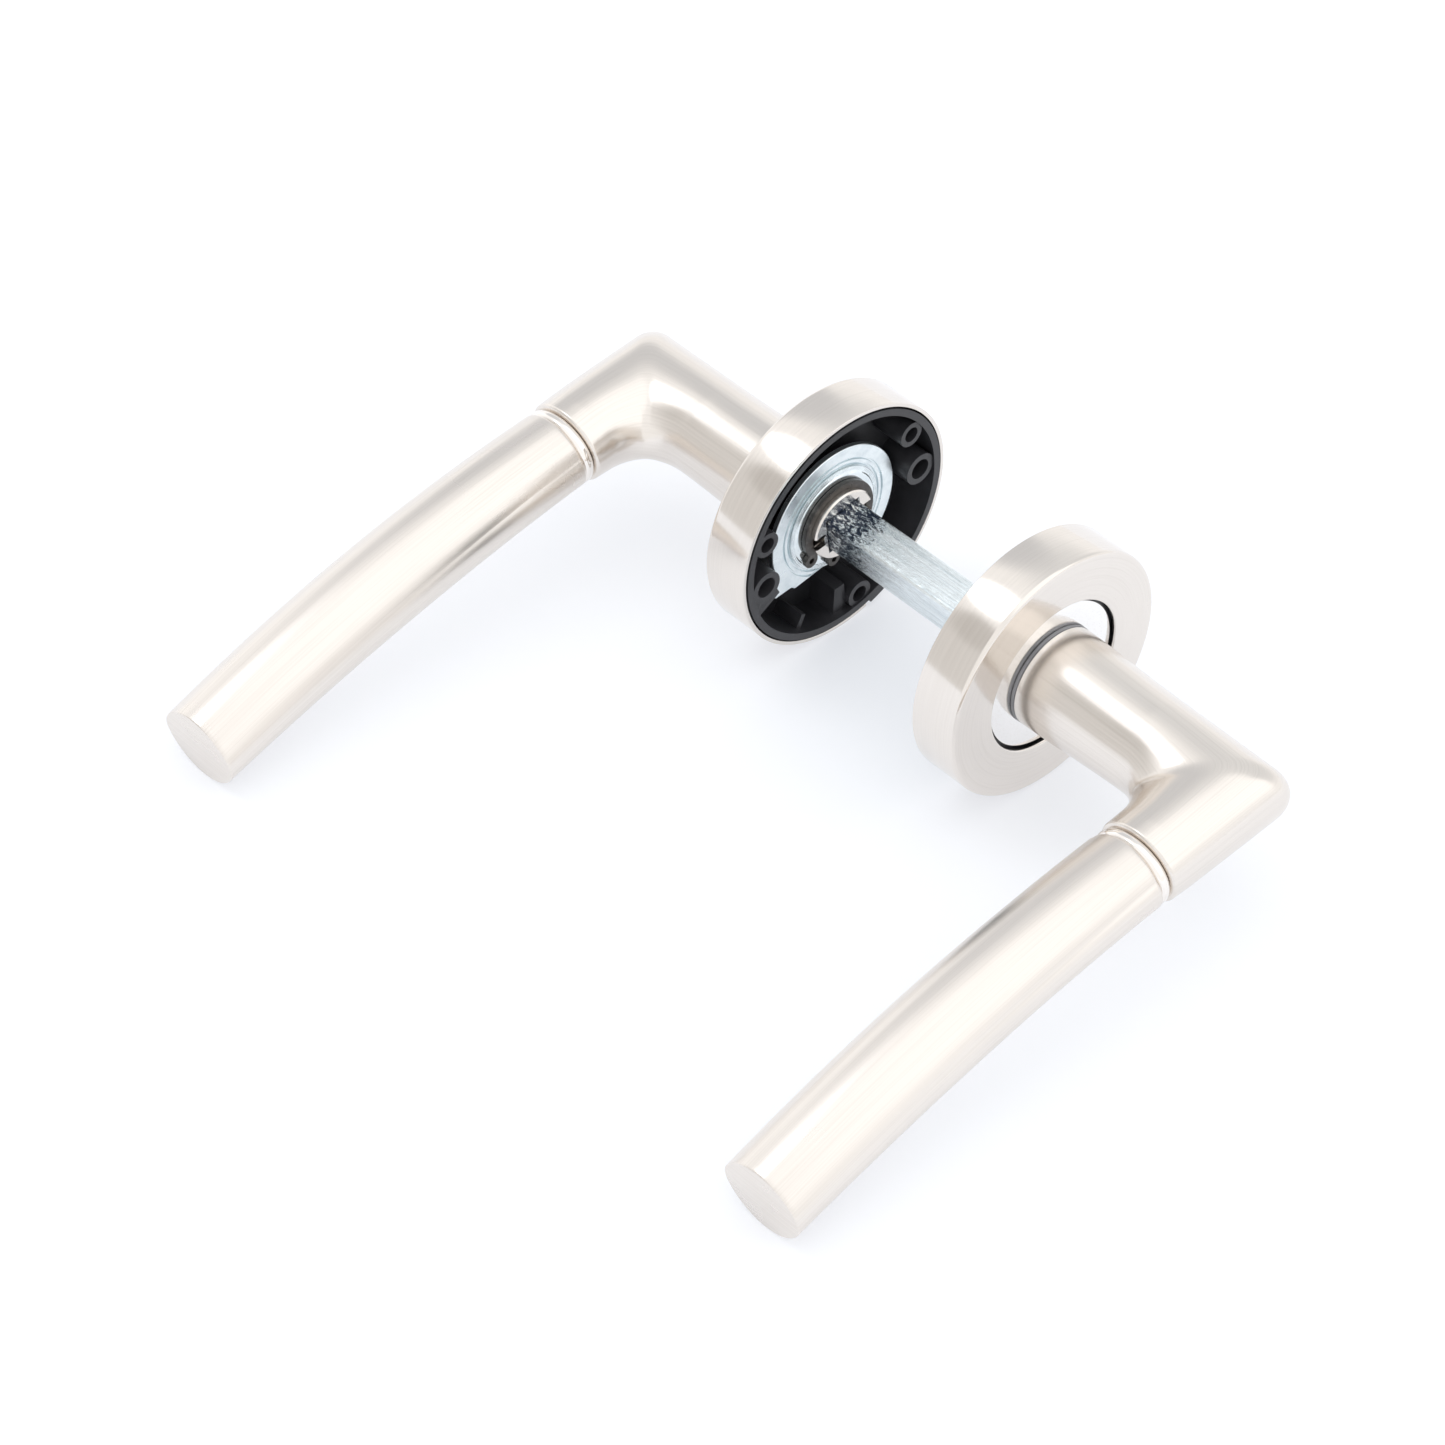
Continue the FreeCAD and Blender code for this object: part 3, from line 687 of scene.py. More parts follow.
def spigot_rings():
    """Socket, end face, circlip groove and keyways of the lever's round end."""
    radius = setting("handle_lever").spigot_radius
    groove = radius - GROOVE_DEPTH
    rings = [square(SOCKET_DEPTH, SOCKET_HALF), square(SPIGOT_END + SOCKET_MOUTH, SOCKET_HALF),
             square(SPIGOT_END, SOCKET_HALF + SOCKET_MOUTH)]
    keyed = ((SPIGOT_END, radius - SPIGOT_CHAMFER), (SPIGOT_END + SPIGOT_CHAMFER, radius),
             (GROOVE_NEAR, radius), (GROOVE_NEAR, groove), (GROOVE_FAR, groove), (GROOVE_FAR, radius),
             (KEYWAY_END, radius))
    rings += [keyed_circle(place, size) for place, size in keyed]
    return rings + [circle(KEYWAY_END, radius), circle(NECK_START, radius)]


def neck_rings():
    """Shoulder and neck up to the elbow's corner."""
    sizes = setting("handle_lever")
    rings = []
    for step in range(NECK_EDGE_STEPS + 1):
        turn = QUARTER_TURN * step / NECK_EDGE_STEPS
        radius = sizes.neck_radius - NECK_EDGE * (1 - math.sin(turn))
        rings.append(circle(NECK_START + NECK_EDGE * (1 - math.cos(turn)), radius))
    neck_end = out(sizes.grip_axis_out) - sizes.arm_half_x - sizes.inner_radius
    neck_start = out(NECK_START + NECK_EDGE)
    for step in range(1, NECK_STEPS):
        share = step / NECK_STEPS
        place = neck_start + (neck_end - neck_start) * share
        eased = share * share * (3 - 2 * share)
        half_y = sizes.neck_radius + (sizes.neck_half_y - sizes.neck_radius) * eased
        half_z = sizes.neck_radius + (sizes.neck_half_z - sizes.neck_radius) * eased
        rings.append(oval(row(place, 0, 0), SIDEWAYS, UPWARDS, half_y, half_z))
    return rings


def corner_rings():
    """Fan of ovals round the elbow's corner."""
    sizes = setting("handle_lever")
    middle = row(out(sizes.grip_axis_out) - sizes.arm_half_x - sizes.inner_radius,
                 -sizes.neck_half_y - sizes.inner_radius, 0)
    across = sizes.inner_radius + 2 * sizes.neck_half_y
    beside = sizes.inner_radius + 2 * sizes.arm_half_x
    rings = []
    for step in range(CORNER_STEPS + 1):
        share = step / CORNER_STEPS
        turn = QUARTER_TURN * share
        outward = row(math.sin(turn), math.cos(turn), 0)
        half = (corner_reach(across, beside, sizes.outer_radius, turn) - sizes.inner_radius) / 2
        half_z = sizes.neck_half_z + (sizes.arm_half_z - sizes.neck_half_z) * share
        centre = middle + outward * (sizes.inner_radius + half)
        centre[2] = arch_place(max(0.0, -centre[1]))[0][2]
        rings.append(oval(centre, outward, UPWARDS, half, half_z))
    return rings


def lip_rings(sign, steps=6):
    """Rounded edge of elbow (-1) or grip (+1) beside the trim ring, from the surface inwards."""
    half = setting("handle_lever").ring_width / 2
    rings = []
    for step in range(steps + 1):
        turn = QUARTER_TURN * step / steps
        rings.append((sign * (half + LIP * (1 - math.sin(turn))), LIP * (1 - math.cos(turn))))
    return rings


def elbow_mesh(name):
    """Spigot, neck, corner, arm and tenon as one closed skin."""
    rings = spigot_rings() + neck_rings() + corner_rings()
    last = rings[-1]
    first_lip = joint_oval(*lip_rings(-1)[0])
    rings += [last + (first_lip - last) * step / ARM_STEPS for step in range(1, ARM_STEPS)]
    rings += [joint_oval(*place) for place in lip_rings(-1)]
    half = setting("handle_lever").ring_width / 2
    rings.append(joint_oval(-half, TENON_INSET))
    rings.append(joint_oval(TENON_LENGTH, TENON_INSET))
    return skin(name, rings)


TENON_GAP = 0.05 * MM
BEAD_ROUNDING = 1.19 * MM
BEAD_STEPS = 12


def ring_mesh(name):
    """Bead between elbow and grip, bored for the tenon."""
    sizes = setting("handle_lever")
    half = sizes.ring_width / 2
    inner = TENON_INSET - TENON_GAP
    outline = rounded([(-half, inner), (-half, sizes.ring_inset), (half, sizes.ring_inset), (half, inner)],
                      [0, BEAD_ROUNDING, BEAD_ROUNDING, 0], steps=BEAD_STEPS)
    return skin(name, [joint_oval(offset, inset) for offset, inset in outline], closed=True)


def blend(values, share):
    """Parabola through three values at shares 0, 0.5 and 1."""
    first = values[0] * (1 - share) * (1 - 2 * share)
    return first + values[1] * 4 * share * (1 - share) + values[2] * share * (2 * share - 1)


GRIP_HALF_X = (9.2 * MM, 9.4 * MM, 9.25 * MM)
GRIP_HALF_Z = (7.9 * MM, 8.4 * MM, 7.35 * MM)
GRIP_SIDE_HALF_Z = (3.4 * MM, 2.6 * MM, 2.0 * MM)
GRIP_SIDE_BULGE = (1.5 * MM, 0.8 * MM, 0.5 * MM)
GRIP_SIDE_POINTS = 20
GRIP_FACE_POINTS = 52
GRIP_STEPS = 96
GRIP_EDGE = 0.25 * MM
GRIP_EDGE_STEPS = 3
SOCKET_BOTTOM_GAP = 0.4 * MM
SOCKET_LOOSENESS = 1.01
FINE_POINTS = 300
CREASE_SOFTNESS = 0.22 * MM
CREASE_SAMPLES = np.linspace(-2, 2, 9)


def arc(first, middle, last, shares):
    """Points on the circle through three points, at shares of the way."""
    (ax, ay), (bx, by), (cx, cy) = first, middle, last
    d = 2 * (ax * (by - cy) + bx * (cy - ay) + cx * (ay - by))
    sa, sb, sc = ax * ax + ay * ay, bx * bx + by * by, cx * cx + cy * cy
    x = (sa * (by - cy) + sb * (cy - ay) + sc * (ay - by)) / d
    y = (sa * (cx - bx) + sb * (ax - cx) + sc * (bx - ax)) / d
    start = math.atan2(ay - y, ax - x)
    turn = (math.atan2(cy - y, cx - x) - start) % FULL_TURN
    radius = math.hypot(ax - x, ay - y)
    angles = start + turn * shares
    return np.stack([x + radius * np.cos(angles), y + radius * np.sin(angles)], 1)


def spread(count):
    """Shares of a run, closer together at its ends."""
    return 0.5 - 0.5 * np.cos(np.pi * np.arange(count) / count)


def grip_outline(share, inset):
    """Lens-shaped outline of the grip: arched top and underside, narrow bowed sides."""
    half_x = blend(GRIP_HALF_X, share) - inset
    half_z = blend(GRIP_HALF_Z, share) - inset
    side_z = blend(GRIP_SIDE_HALF_Z, share) - inset / 2
    shoulder = half_x - blend(GRIP_SIDE_BULGE, share)
    runs = (((shoulder, -side_z), (half_x, 0), (shoulder, side_z), GRIP_SIDE_POINTS),
            ((shoulder, side_z), (0, half_z), (-shoulder, side_z), GRIP_FACE_POINTS),
            ((-shoulder, side_z), (-half_x, 0), (-shoulder, -side_z), GRIP_SIDE_POINTS),
            ((-shoulder, -side_z), (0, -half_z), (shoulder, -side_z), GRIP_FACE_POINTS))
    shares = np.arange(FINE_POINTS) / FINE_POINTS
    fine = np.concatenate([arc(first, middle, last, shares) for first, middle, last, _ in runs])
    kept = np.concatenate([FINE_POINTS * (i + spread(run[3])) for i, run in enumerate(runs)])
    closed = np.concatenate([fine, fine, fine, fine[:1]])
    walked = np.concatenate([[0], np.linalg.norm(np.diff(closed, axis=0), axis=1).cumsum()])
    places = np.interp(kept + len(fine), np.arange(len(closed)), walked)
    weights = np.exp(-CREASE_SAMPLES ** 2 / 2)
    weights /= weights.sum()
    around = places[:, None] + CREASE_SAMPLES[None, :] * CREASE_SOFTNESS
    x = (np.interp(around, walked, closed[:, 0]) * weights).sum(1)
    z = (np.interp(around, walked, closed[:, 1]) * weights).sum(1)
    return x, z


def grip_mesh(name):
    """Arched handle with a rounded lip, a flat end and a socket for the tenon."""
    sizes = setting("handle_lever")
    half = sizes.ring_width / 2
    centre, direction, up = joint_place()
    end_y = arch_place(sizes.grip_length)[0][1]
    first = sizes.ring_along + half + LIP

    def at_joint(offset, inset):
        x, z = grip_outline(0.0, inset)
        return centre + direction * offset + np.outer(x, ACROSS) + np.outer(z, up)

    def at_share(share, inset=0.0, back=0.0):
        x, z = grip_outline(share, inset)
        start = math.sin(sizes.arch_start) * sizes.arch_radius
        last = np.arcsin((-end_y - back + start) / (sizes.arch_radius + z))
        begin = sizes.arch_start + first / sizes.arch_radius
        slope = begin + (last - begin) * share
        y = start - (sizes.arch_radius + z) * np.sin(slope)
        height = (sizes.arch_radius + z) * np.cos(slope) - sizes.arch_radius * math.cos(sizes.arch_start)
        return np.column_stack([centre[0] + x, y, height])

    def socket(offset):
        x, z = grip_outline(0.0, 0.0)
        size = np.hypot(x / (JOINT_HALF_X - TENON_INSET), z / (JOINT_HALF_Z - TENON_INSET)) / SOCKET_LOOSENESS
        return centre + direction * offset + np.outer(x / size, ACROSS) + np.outer(z / size, up)

    rings = [socket(TENON_LENGTH + SOCKET_BOTTOM_GAP), socket(half)]
    rings += [at_joint(*place) for place in lip_rings(1)[::-1]]
    rings += [at_share(step / GRIP_STEPS) for step in range(1, GRIP_STEPS)]
    for step in range(GRIP_EDGE_STEPS + 1):
        turn = QUARTER_TURN * step / GRIP_EDGE_STEPS
        rings.append(at_share(1.0, GRIP_EDGE * (1 - math.cos(turn)), GRIP_EDGE * (1 - math.sin(turn))))
    return skin(name, rings)


SPINDLE_CHAMFER = 0.5 * MM
SPINDLE_STEPS = 20


def spindle_mesh(name):
    """Square bar with rounded corners and chamfered ends."""
    sizes = setting("handle_lever")
    half = sizes.spindle_side / 2
    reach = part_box("spindle")[1][0]
    corners = [(half, half), (-half, half), (-half, -half), (half, -half)]
    outline = rounded(corners, [sizes.spindle_corner] * len(corners))
    flat = reach - SPINDLE_CHAMFER
    stations = [(-reach, SPINDLE_CHAMFER)]
    stations += [(flat * (2 * step / SPINDLE_STEPS - 1), 0.0) for step in range(SPINDLE_STEPS + 1)]
    stations.append((reach, SPINDLE_CHAMFER))
    rings = []
    for x, inset in stations:
        scale = (half - inset) / half
        rings.append([(x, y * scale, z * scale) for y, z in outline])
    return skin(name, rings)


# ---------------------------------------------------------------- repeated shapes, as node trees

FLOAT, WHOLE, SHADER = "NodeSocketFloat", "NodeSocketInt", "NodeSocketMaterial"
COIL_POINTS = 321
RIDGE_SIDES = 8


class Tree:
    """Geometry node tree with named inputs."""

    def __init__(self, name, inputs):
        self.tree = bpy.data.node_groups.new(name, "GeometryNodeTree")
        self.tree.interface.new_socket(name="Geometry", in_out="OUTPUT", socket_type="NodeSocketGeometry")
        for label, kind in inputs:
            self.tree.interface.new_socket(name=label, in_out="INPUT", socket_type=kind)
        self.inputs = self.tree.nodes.new("NodeGroupInput")
        self.output = self.tree.nodes.new("NodeGroupOutput")

    def node(self, kind, links=(), **options):
        """New node with options set and inputs linked or filled."""
        made = self.tree.nodes.new(kind)
        for key, value in options.items():
            setattr(made, key, value)
        for socket, value in links:
            if isinstance(value, bpy.types.NodeSocket):
                self.tree.links.new(value, made.inputs[socket])
            else:
                made.inputs[socket].default_value = value
        return made

    def math(self, operation, first, second=0.0):
        """Sum, product or other result of one or two numbers."""
        return self.node("ShaderNodeMath", ((0, first), (1, second)), operation=operation).outputs[0]

    def size(self, label):
        """Named input of the tree."""
        return self.inputs.outputs[label]

    def finish(self, curve, wire, material, sides=16):
        """Curve made a wire of round section, shaded, realized and given its material."""
        section = self.node("GeometryNodeCurvePrimitiveCircle", (("Resolution", sides), ("Radius", wire)))
        solid = self.node("GeometryNodeCurveToMesh", (("Curve", curve), ("Profile Curve", section.outputs[0]),
                                                      ("Fill Caps", True)))
        shaded = self.node("GeometryNodeSetShadeSmooth", (("Geometry", solid.outputs[0]),))
        real = self.node("GeometryNodeRealizeInstances", (("Geometry", shaded.outputs[0]),))
        painted = self.node("GeometryNodeSetMaterial",
                            (("Geometry", real.outputs[0]), ("Material", material)))
        self.tree.links.new(painted.outputs[0], self.output.inputs[0])
        return self.tree


def coil_tree():
    """Helix about X with a straight leg at each end."""
    made = Tree("Coiled wire", (
        ("Material", SHADER), ("Coil radius", FLOAT), ("Wire radius", FLOAT), ("Start", FLOAT),
        ("Pitch", FLOAT), ("Turns", FLOAT), ("Start angle", FLOAT), ("Leg", FLOAT)))
    line = made.node("GeometryNodeMeshLine", (("Count", COIL_POINTS),))
    index = made.node("GeometryNodeInputIndex").outputs[0]
    turn = made.math("MULTIPLY", made.size("Turns"), FULL_TURN)
    wound = made.math("MULTIPLY", turn, made.size("Coil radius"))
    both_legs = made.math("MULTIPLY", made.size("Leg"), 2.0)
    whole = made.math("ADD", wound, both_legs)
    share = made.math("DIVIDE", index, COIL_POINTS - 1.0)
    walked = made.math("SUBTRACT", made.math("MULTIPLY", share, whole), made.size("Leg"))
    on_coil = made.math("MINIMUM", made.math("MAXIMUM", walked, 0.0), wound)
    on_leg = made.math("SUBTRACT", walked, on_coil)
    turned_by = made.math("DIVIDE", on_coil, made.size("Coil radius"))
    heading = made.math("ADD", made.size("Start angle"), turned_by)
    cosine, sine = made.math("COSINE", heading), made.math("SINE", heading)
    rise = made.math("MULTIPLY", made.math("DIVIDE", turned_by, FULL_TURN), made.size("Pitch"))
    x = made.math("ADD", made.size("Start"), rise)
    y = made.math("SUBTRACT", made.math("MULTIPLY", cosine, made.size("Coil radius")),
                  made.math("MULTIPLY", sine, on_leg))
    z = made.math("ADD", made.math("MULTIPLY", sine, made.size("Coil radius")),
                  made.math("MULTIPLY", cosine, on_leg))
    place = made.node("ShaderNodeCombineXYZ", (("X", x), ("Y", y), ("Z", z)))
    moved = made.node("GeometryNodeSetPosition",
                      (("Geometry", line.outputs[0]), ("Position", place.outputs[0])))
    path = made.node("GeometryNodeMeshToCurve", (("Mesh", moved.outputs[0]),))
    return made.finish(path.outputs[0], made.size("Wire radius"), made.size("Material"))


def ridge_tree():
    """Concentric ridges about X, evenly spaced."""
    made = Tree("Concentric ridges", (
        ("Material", SHADER), ("First radius", FLOAT), ("Spacing", FLOAT), ("Count", WHOLE),
        ("Ridge radius", FLOAT), ("Place", FLOAT)))
    points = made.node("GeometryNodePoints", (("Count", made.size("Count")),))
    index = made.node("GeometryNodeInputIndex").outputs[0]
    radius = made.math("ADD", made.size("First radius"), made.math("MULTIPLY", index, made.size("Spacing")))
    place = made.node("ShaderNodeCombineXYZ", (("X", made.size("Place")),))
    scale = made.node("ShaderNodeCombineXYZ", (("X", radius), ("Y", radius), ("Z", radius)))
    moved = made.node("GeometryNodeSetPosition",
                      (("Geometry", points.outputs[0]), ("Position", place.outputs[0])))
    hoop = made.node("GeometryNodeCurvePrimitiveCircle", (("Resolution", ROUND), ("Radius", 1.0)))
    copies = made.node("GeometryNodeInstanceOnPoints", (
        ("Points", moved.outputs[0]), ("Instance", hoop.outputs[0]),
        ("Rotation", (0.0, QUARTER_TURN, 0.0)), ("Scale", scale.outputs[0])))
    hoops = made.node("GeometryNodeRealizeInstances", (("Geometry", copies.outputs[0]),))
    return made.finish(hoops.outputs[0], made.size("Ridge radius"), made.size("Material"), sides=RIDGE_SIDES)


def frozen(thing, modifier):
    """Plain mesh of an object with its one modifier, which is then taken off."""
    graph = bpy.context.evaluated_depsgraph_get()
    mesh = bpy.data.meshes.new_from_object(thing.evaluated_get(graph))
    thing.modifiers.remove(modifier)
    return mesh


def grown(name, tree, values, material):
    """Plain mesh made by a node tree with its inputs set."""
    carrier = bpy.data.objects.new(name, bpy.data.meshes.new(name + " start"))
    bpy.context.scene.collection.objects.link(carrier)
    modifier = carrier.modifiers.new("Shape", "NODES")
    modifier.node_group = tree
    values = dict(values, Material=material)
    for item in tree.interface.items_tree:
        if item.item_type == "SOCKET" and item.in_out == "INPUT":
            modifier[item.identifier] = values[item.name]
    mesh = frozen(carrier, modifier)
    bpy.data.objects.remove(carrier)
    mesh.name = name
    return mesh


# ---------------------------------------------------------------- operators

def both_halves(build, part, body, bevel=0.0):
    """A piece for each half, from a function of its name that gives the right-hand mesh."""
    for half, side in HALVES:
        name = half + "_" + part
        mesh = tidy(build(name + "_look"), side)
        piece(name + "_look", mesh, half + "_" + body, name, finish_for(part), bevel)


def grown_halves(part, node, body, tree, values):
    """A piece for each half, grown by a node tree, that stands for a frame node."""
    for half, side in HALVES:
        name = half + "_" + part + "_look"
        mesh = grown(name, tree(), values, finish_for(node))
        tidy(mesh, side, WIRE_SHARP_DEGREES)
        piece(name, mesh, half + "_" + body, half + "_" + node, finish_for(node))


def softened_halves(part, body, bevel):
    """A softened copy of a frame node for each half."""
    for half, _ in HALVES:
        name = half + "_" + part
        piece(name + "_look", softened_copy(name), half + "_" + body, name, finish_for(part), bevel)


class HandleSpindle(bpy.types.Operator):
    """Build the square spindle"""
    bl_idname = "handle.spindle"
    bl_label = "Spindle"

    def execute(self, context):
        mesh = tidy(spindle_mesh("spindle_look"))
        piece("spindle_look", mesh, "left_lever", "spindle", finish_for("spindle"))
        return {"FINISHED"}


BORE_GAP = 0.04 * MM
BORE_DEPTH = 20 * MM
BORE_SIDES = 48


def bore_for_screw(half):
    """Round hole in the underside of one neck, in line with its grub screw."""
    thing = bpy.data.objects[half + "_lever_elbow_look"]
    low_corner, high_corner = (row(*corner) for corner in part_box(half + "_grub_screw"))
    middle = (low_corner + high_corner) / 2
    radius = (high_corner[1] - low_corner[1]) / 2 + BORE_GAP
    work = bmesh.new()
    bmesh.ops.create_cone(work, cap_ends=True, segments=BORE_SIDES, radius1=radius, radius2=radius,
                          depth=BORE_DEPTH, matrix=Matrix.Translation((middle[0], 0, -BORE_DEPTH / 2)))
    mesh = bpy.data.meshes.new("screw bore")
    work.to_mesh(mesh)
    work.free()
    cutter = bpy.data.objects.new("screw bore", mesh)
    bpy.context.scene.collection.objects.link(cutter)
    cut = thing.modifiers.new("Screw bore", "BOOLEAN")
    cut.operation = "DIFFERENCE"
    cut.solver = "EXACT"
    cut.object = cutter
    thing.data = frozen(thing, cut)
    bpy.data.objects.remove(cutter)
    smooth_by_angle(thing.data)


class HandleElbows(bpy.types.Operator):
    """Build the two elbows, each with its neck and spigot"""
    bl_idname = "handle.elbows"
    bl_label = "Elbows"

    def execute(self, context):
        both_halves(elbow_mesh, "lever_elbow", "lever")
        for half, _ in HALVES:
            bore_for_screw(half)
        return {"FINISHED"}


class HandleGrips(bpy.types.Operator):
    """Build the two arched grips"""
    bl_idname = "handle.grips"
    bl_label = "Grips"

    def execute(self, context):
        both_halves(grip_mesh, "grip", "lever")
        return {"FINISHED"}


class HandleTrimRings(bpy.types.Operator):
    """Build the polished rings between elbows and grips"""
    bl_idname = "handle.trim_rings"
    bl_label = "Trim Rings"

    def execute(self, context):
        both_halves(ring_mesh, "trim_ring", "lever")
        return {"FINISHED"}


NOTCH_ANGLES = (math.radians(278), math.radians(293))
NOTCH_OUT = 1.3 * MM
PRESSED_EDGE = 0.12 * MM
OPENING_EDGE = 0.22 * MM


def cover_mesh(name):
    """Pressed cap with a rounded front edge, a round opening and a notch in its back edge."""
    sizes = setting("handle_rose")
    back, front = low("rose_cover", 0) - DOOR_HALF, high("rose_cover", 0) - DOOR_HALF
    outer, wall = sizes.cover_radius, sizes.cover_wall
    outline = [(back, outer), (front, outer), (front, sizes.opening_radius),
               (front - wall, sizes.opening_radius), (front - wall, outer - wall), (back, outer - wall)]
    radii = [PRESSED_EDGE, sizes.cover_edge, OPENING_EDGE, PRESSED_EDGE, PRESSED_EDGE, PRESSED_EDGE]
    mesh = turned(name, rounded(outline, radii), count=COVER_ROUND)
    for vertex in mesh.vertices:
        around = math.atan2(vertex.co.z, vertex.co.y) % FULL_TURN
        if vertex.co.x < out(NOTCH_OUT) and NOTCH_ANGLES[0] < around < NOTCH_ANGLES[1]:
            vertex.co.x = out(NOTCH_OUT)
    return mesh


class HandleCovers(bpy.types.Operator):
    """Build the two pressed rose covers"""
    bl_idname = "handle.rose_covers"
    bl_label = "Rose Covers"

    def execute(self, context):
        both_halves(cover_mesh, "rose_cover", "cover")
        return {"FINISHED"}


DISC_GAP, DISC_EDGE = 0.2 * MM, 0.1 * MM
WASHER_GAP, WASHER_EDGE, WASHER_THINNER = 0.07 * MM, 0.2 * MM, 0.52 * MM


def plain_ring(name, node, inner, outer, edge, thinner=0.0):
    """Flat ring between a node's two faces, its front set back where it is thinner."""
    back, front = low(node, 0) - DOOR_HALF, high(node, 0) - DOOR_HALF - thinner
    outline = [(back, outer), (front, outer), (front, inner), (back, inner)]
    return turned(name, rounded(outline, [edge] * 4, steps=3))


class HandleDiscs(bpy.types.Operator):
    """Build the bright discs and dark neck washers in the roses"""
    bl_idname = "handle.face_discs"
    bl_label = "Face Discs and Neck Washers"

    def execute(self, context):
        sizes = setting("handle_rose")
        spigot = setting("handle_lever").spigot_radius
        both_halves(lambda name: plain_ring(name, "face_disc", spigot + DISC_GAP, sizes.disc_radius,
                                            DISC_EDGE), "face_disc", "rose")
        both_halves(lambda name: plain_ring(name, "neck_washer", spigot + WASHER_GAP, sizes.washer_radius,
                                            WASHER_EDGE, WASHER_THINNER), "neck_washer", "lever")
        return {"FINISHED"}


class HandleBases(bpy.types.Operator):
    """Build the moulded bases of the roses"""
    bl_idname = "handle.rose_bases"
    bl_label = "Rose Bases"

    def execute(self, context):
        softened_halves("rose_base", "rose", setting("handle_rose").plastic_edge)
        return {"FINISHED"}


CAM_RADIUS = 15.6 * MM
CAM_CUT = -11.0 * MM
CAM_EDGE = 0.12 * MM
CAM_THICK = 1.2 * MM
CAM_ARC_END = 190.0
CAM_ARC_STEPS = 110
CAM_CUT_STEPS = 24
CAM_CUT_FILLET = 0.3 * MM
BORE_CLEARANCE = 0.1 * MM
# Radius, angle in degrees and fillet of each corner of the horn, in millimetres.
CAM_HORN = ((15.6, 198.6, 2.2), (18.7, 206.4, 0.5), (18.7, 211.6, 0.5), (15.5, 220.6, 0.9))
# Radius and depth of each corner of the two grooves, in millimetres.
CAM_GROOVES = ((12.95, 0.0), (12.85, 0.45), (12.55, 0.45), (12.45, 0.0), (11.85, 0.0), (11.75, 0.45),
               (11.45, 0.45), (11.35, 0.0))
GROOVE_MARGIN = 0.1 * MM
LUG_PLACE = (13.8 * MM, 204.6)
LUG_RADIUS = 0.6 * MM
LUG_START = 1.0 * MM
LUG_LENGTH = 1.7 * MM
LUG_SIDES = 24


def polar(radius, degrees):
    """Y and Z of a point on a circle about the spindle."""
    turn = math.radians(degrees)
    return radius * math.cos(turn), radius * math.sin(turn)


def cam_outline():
    """Outline of the cam plate: round, cut flat below, with a horn."""
    cut = math.degrees(math.asin(CAM_CUT / CAM_RADIUS))
    points = [polar(CAM_RADIUS, cut + (CAM_ARC_END - cut) * step / CAM_ARC_STEPS)
              for step in range(CAM_ARC_STEPS + 1)]
    radii = [0.0] * len(points)
    for radius, degrees, fillet in CAM_HORN:
        points.append(polar(radius * MM, degrees))
        radii.append(fillet * MM)
    points.append(polar(CAM_RADIUS, 180 - cut))
    radii.append(CAM_CUT_FILLET)
    left, right = points[-1][0], points[0][0]
    points += [(left + (right - left) * step / CAM_CUT_STEPS, CAM_CUT) for step in range(1, CAM_CUT_STEPS)]
    radii += [0.0] * (CAM_CUT_STEPS - 1)
    return np.array(rounded(points, radii, steps=5))


def cam_mesh(name):
    """Stamped cam plate with two turned grooves on its back."""
    outline = cam_outline()
    tangent = np.roll(outline, -1, 0) - np.roll(outline, 1, 0)
    normal = np.stack([tangent[:, 1], -tangent[:, 0]], 1)
    normal /= np.linalg.norm(normal, axis=1)[:, None]
    small = outline - normal * CAM_EDGE
    reach = np.linalg.norm(outline, axis=1)
    unit = outline / reach[:, None]
    bore = unit * (setting("handle_lever").spigot_radius + BORE_CLEARANCE)
    back = low("cam_plate", 0) - DOOR_HALF
    front = back + CAM_THICK

    def ring(flat, place):
        return np.column_stack([np.full(len(flat), out(place)), flat])

    rings = [ring(bore, front), ring(small, front), ring(outline, front - CAM_EDGE),
             ring(outline, back + CAM_EDGE), ring(small, back)]
    for step, (radius, depth) in enumerate(CAM_GROOVES):
        limit = np.minimum(radius * MM, reach - GROOVE_MARGIN * (step + 2))
        rings.append(ring(unit * limit[:, None], back + depth * MM))
    rings.append(ring(bore, back))
    plate = skin(name, rings, closed=True)
    start, end = back + LUG_START, front + LUG_LENGTH
    outline = rounded([(start, 0.0), (start, LUG_RADIUS), (end, LUG_RADIUS), (end, 0.0)],
                      [0, 0.05 * MM, 0.2 * MM, 0])
    lug = turned(name + " lug", outline, *polar(*LUG_PLACE), LUG_SIDES)
    return joined(name, [plate, lug])


class HandlePlates(bpy.types.Operator):
    """Build the cam plates and circlips"""
    bl_idname = "handle.cam_plates"
    bl_label = "Cam Plates and Circlips"

    def execute(self, context):
        edge = setting("handle_mechanism").plate_edge
        both_halves(cam_mesh, "cam_plate", "lever")
        softened_halves("circlip", "lever", edge)
        return {"FINISHED"}


DISH_WALL = 0.3 * MM
DISH_BEND = 0.3 * MM
DISH_INNER_BEND = 0.1 * MM
DISH_RIM_EDGE = 0.08 * MM
DISH_BORE_EDGE = 0.06 * MM
RIDGE_START = 0.3 * MM
RIDGE_SPACING = 0.28 * MM
RIDGE_COUNT = 3
SPRING_OUT = 5.2 * MM


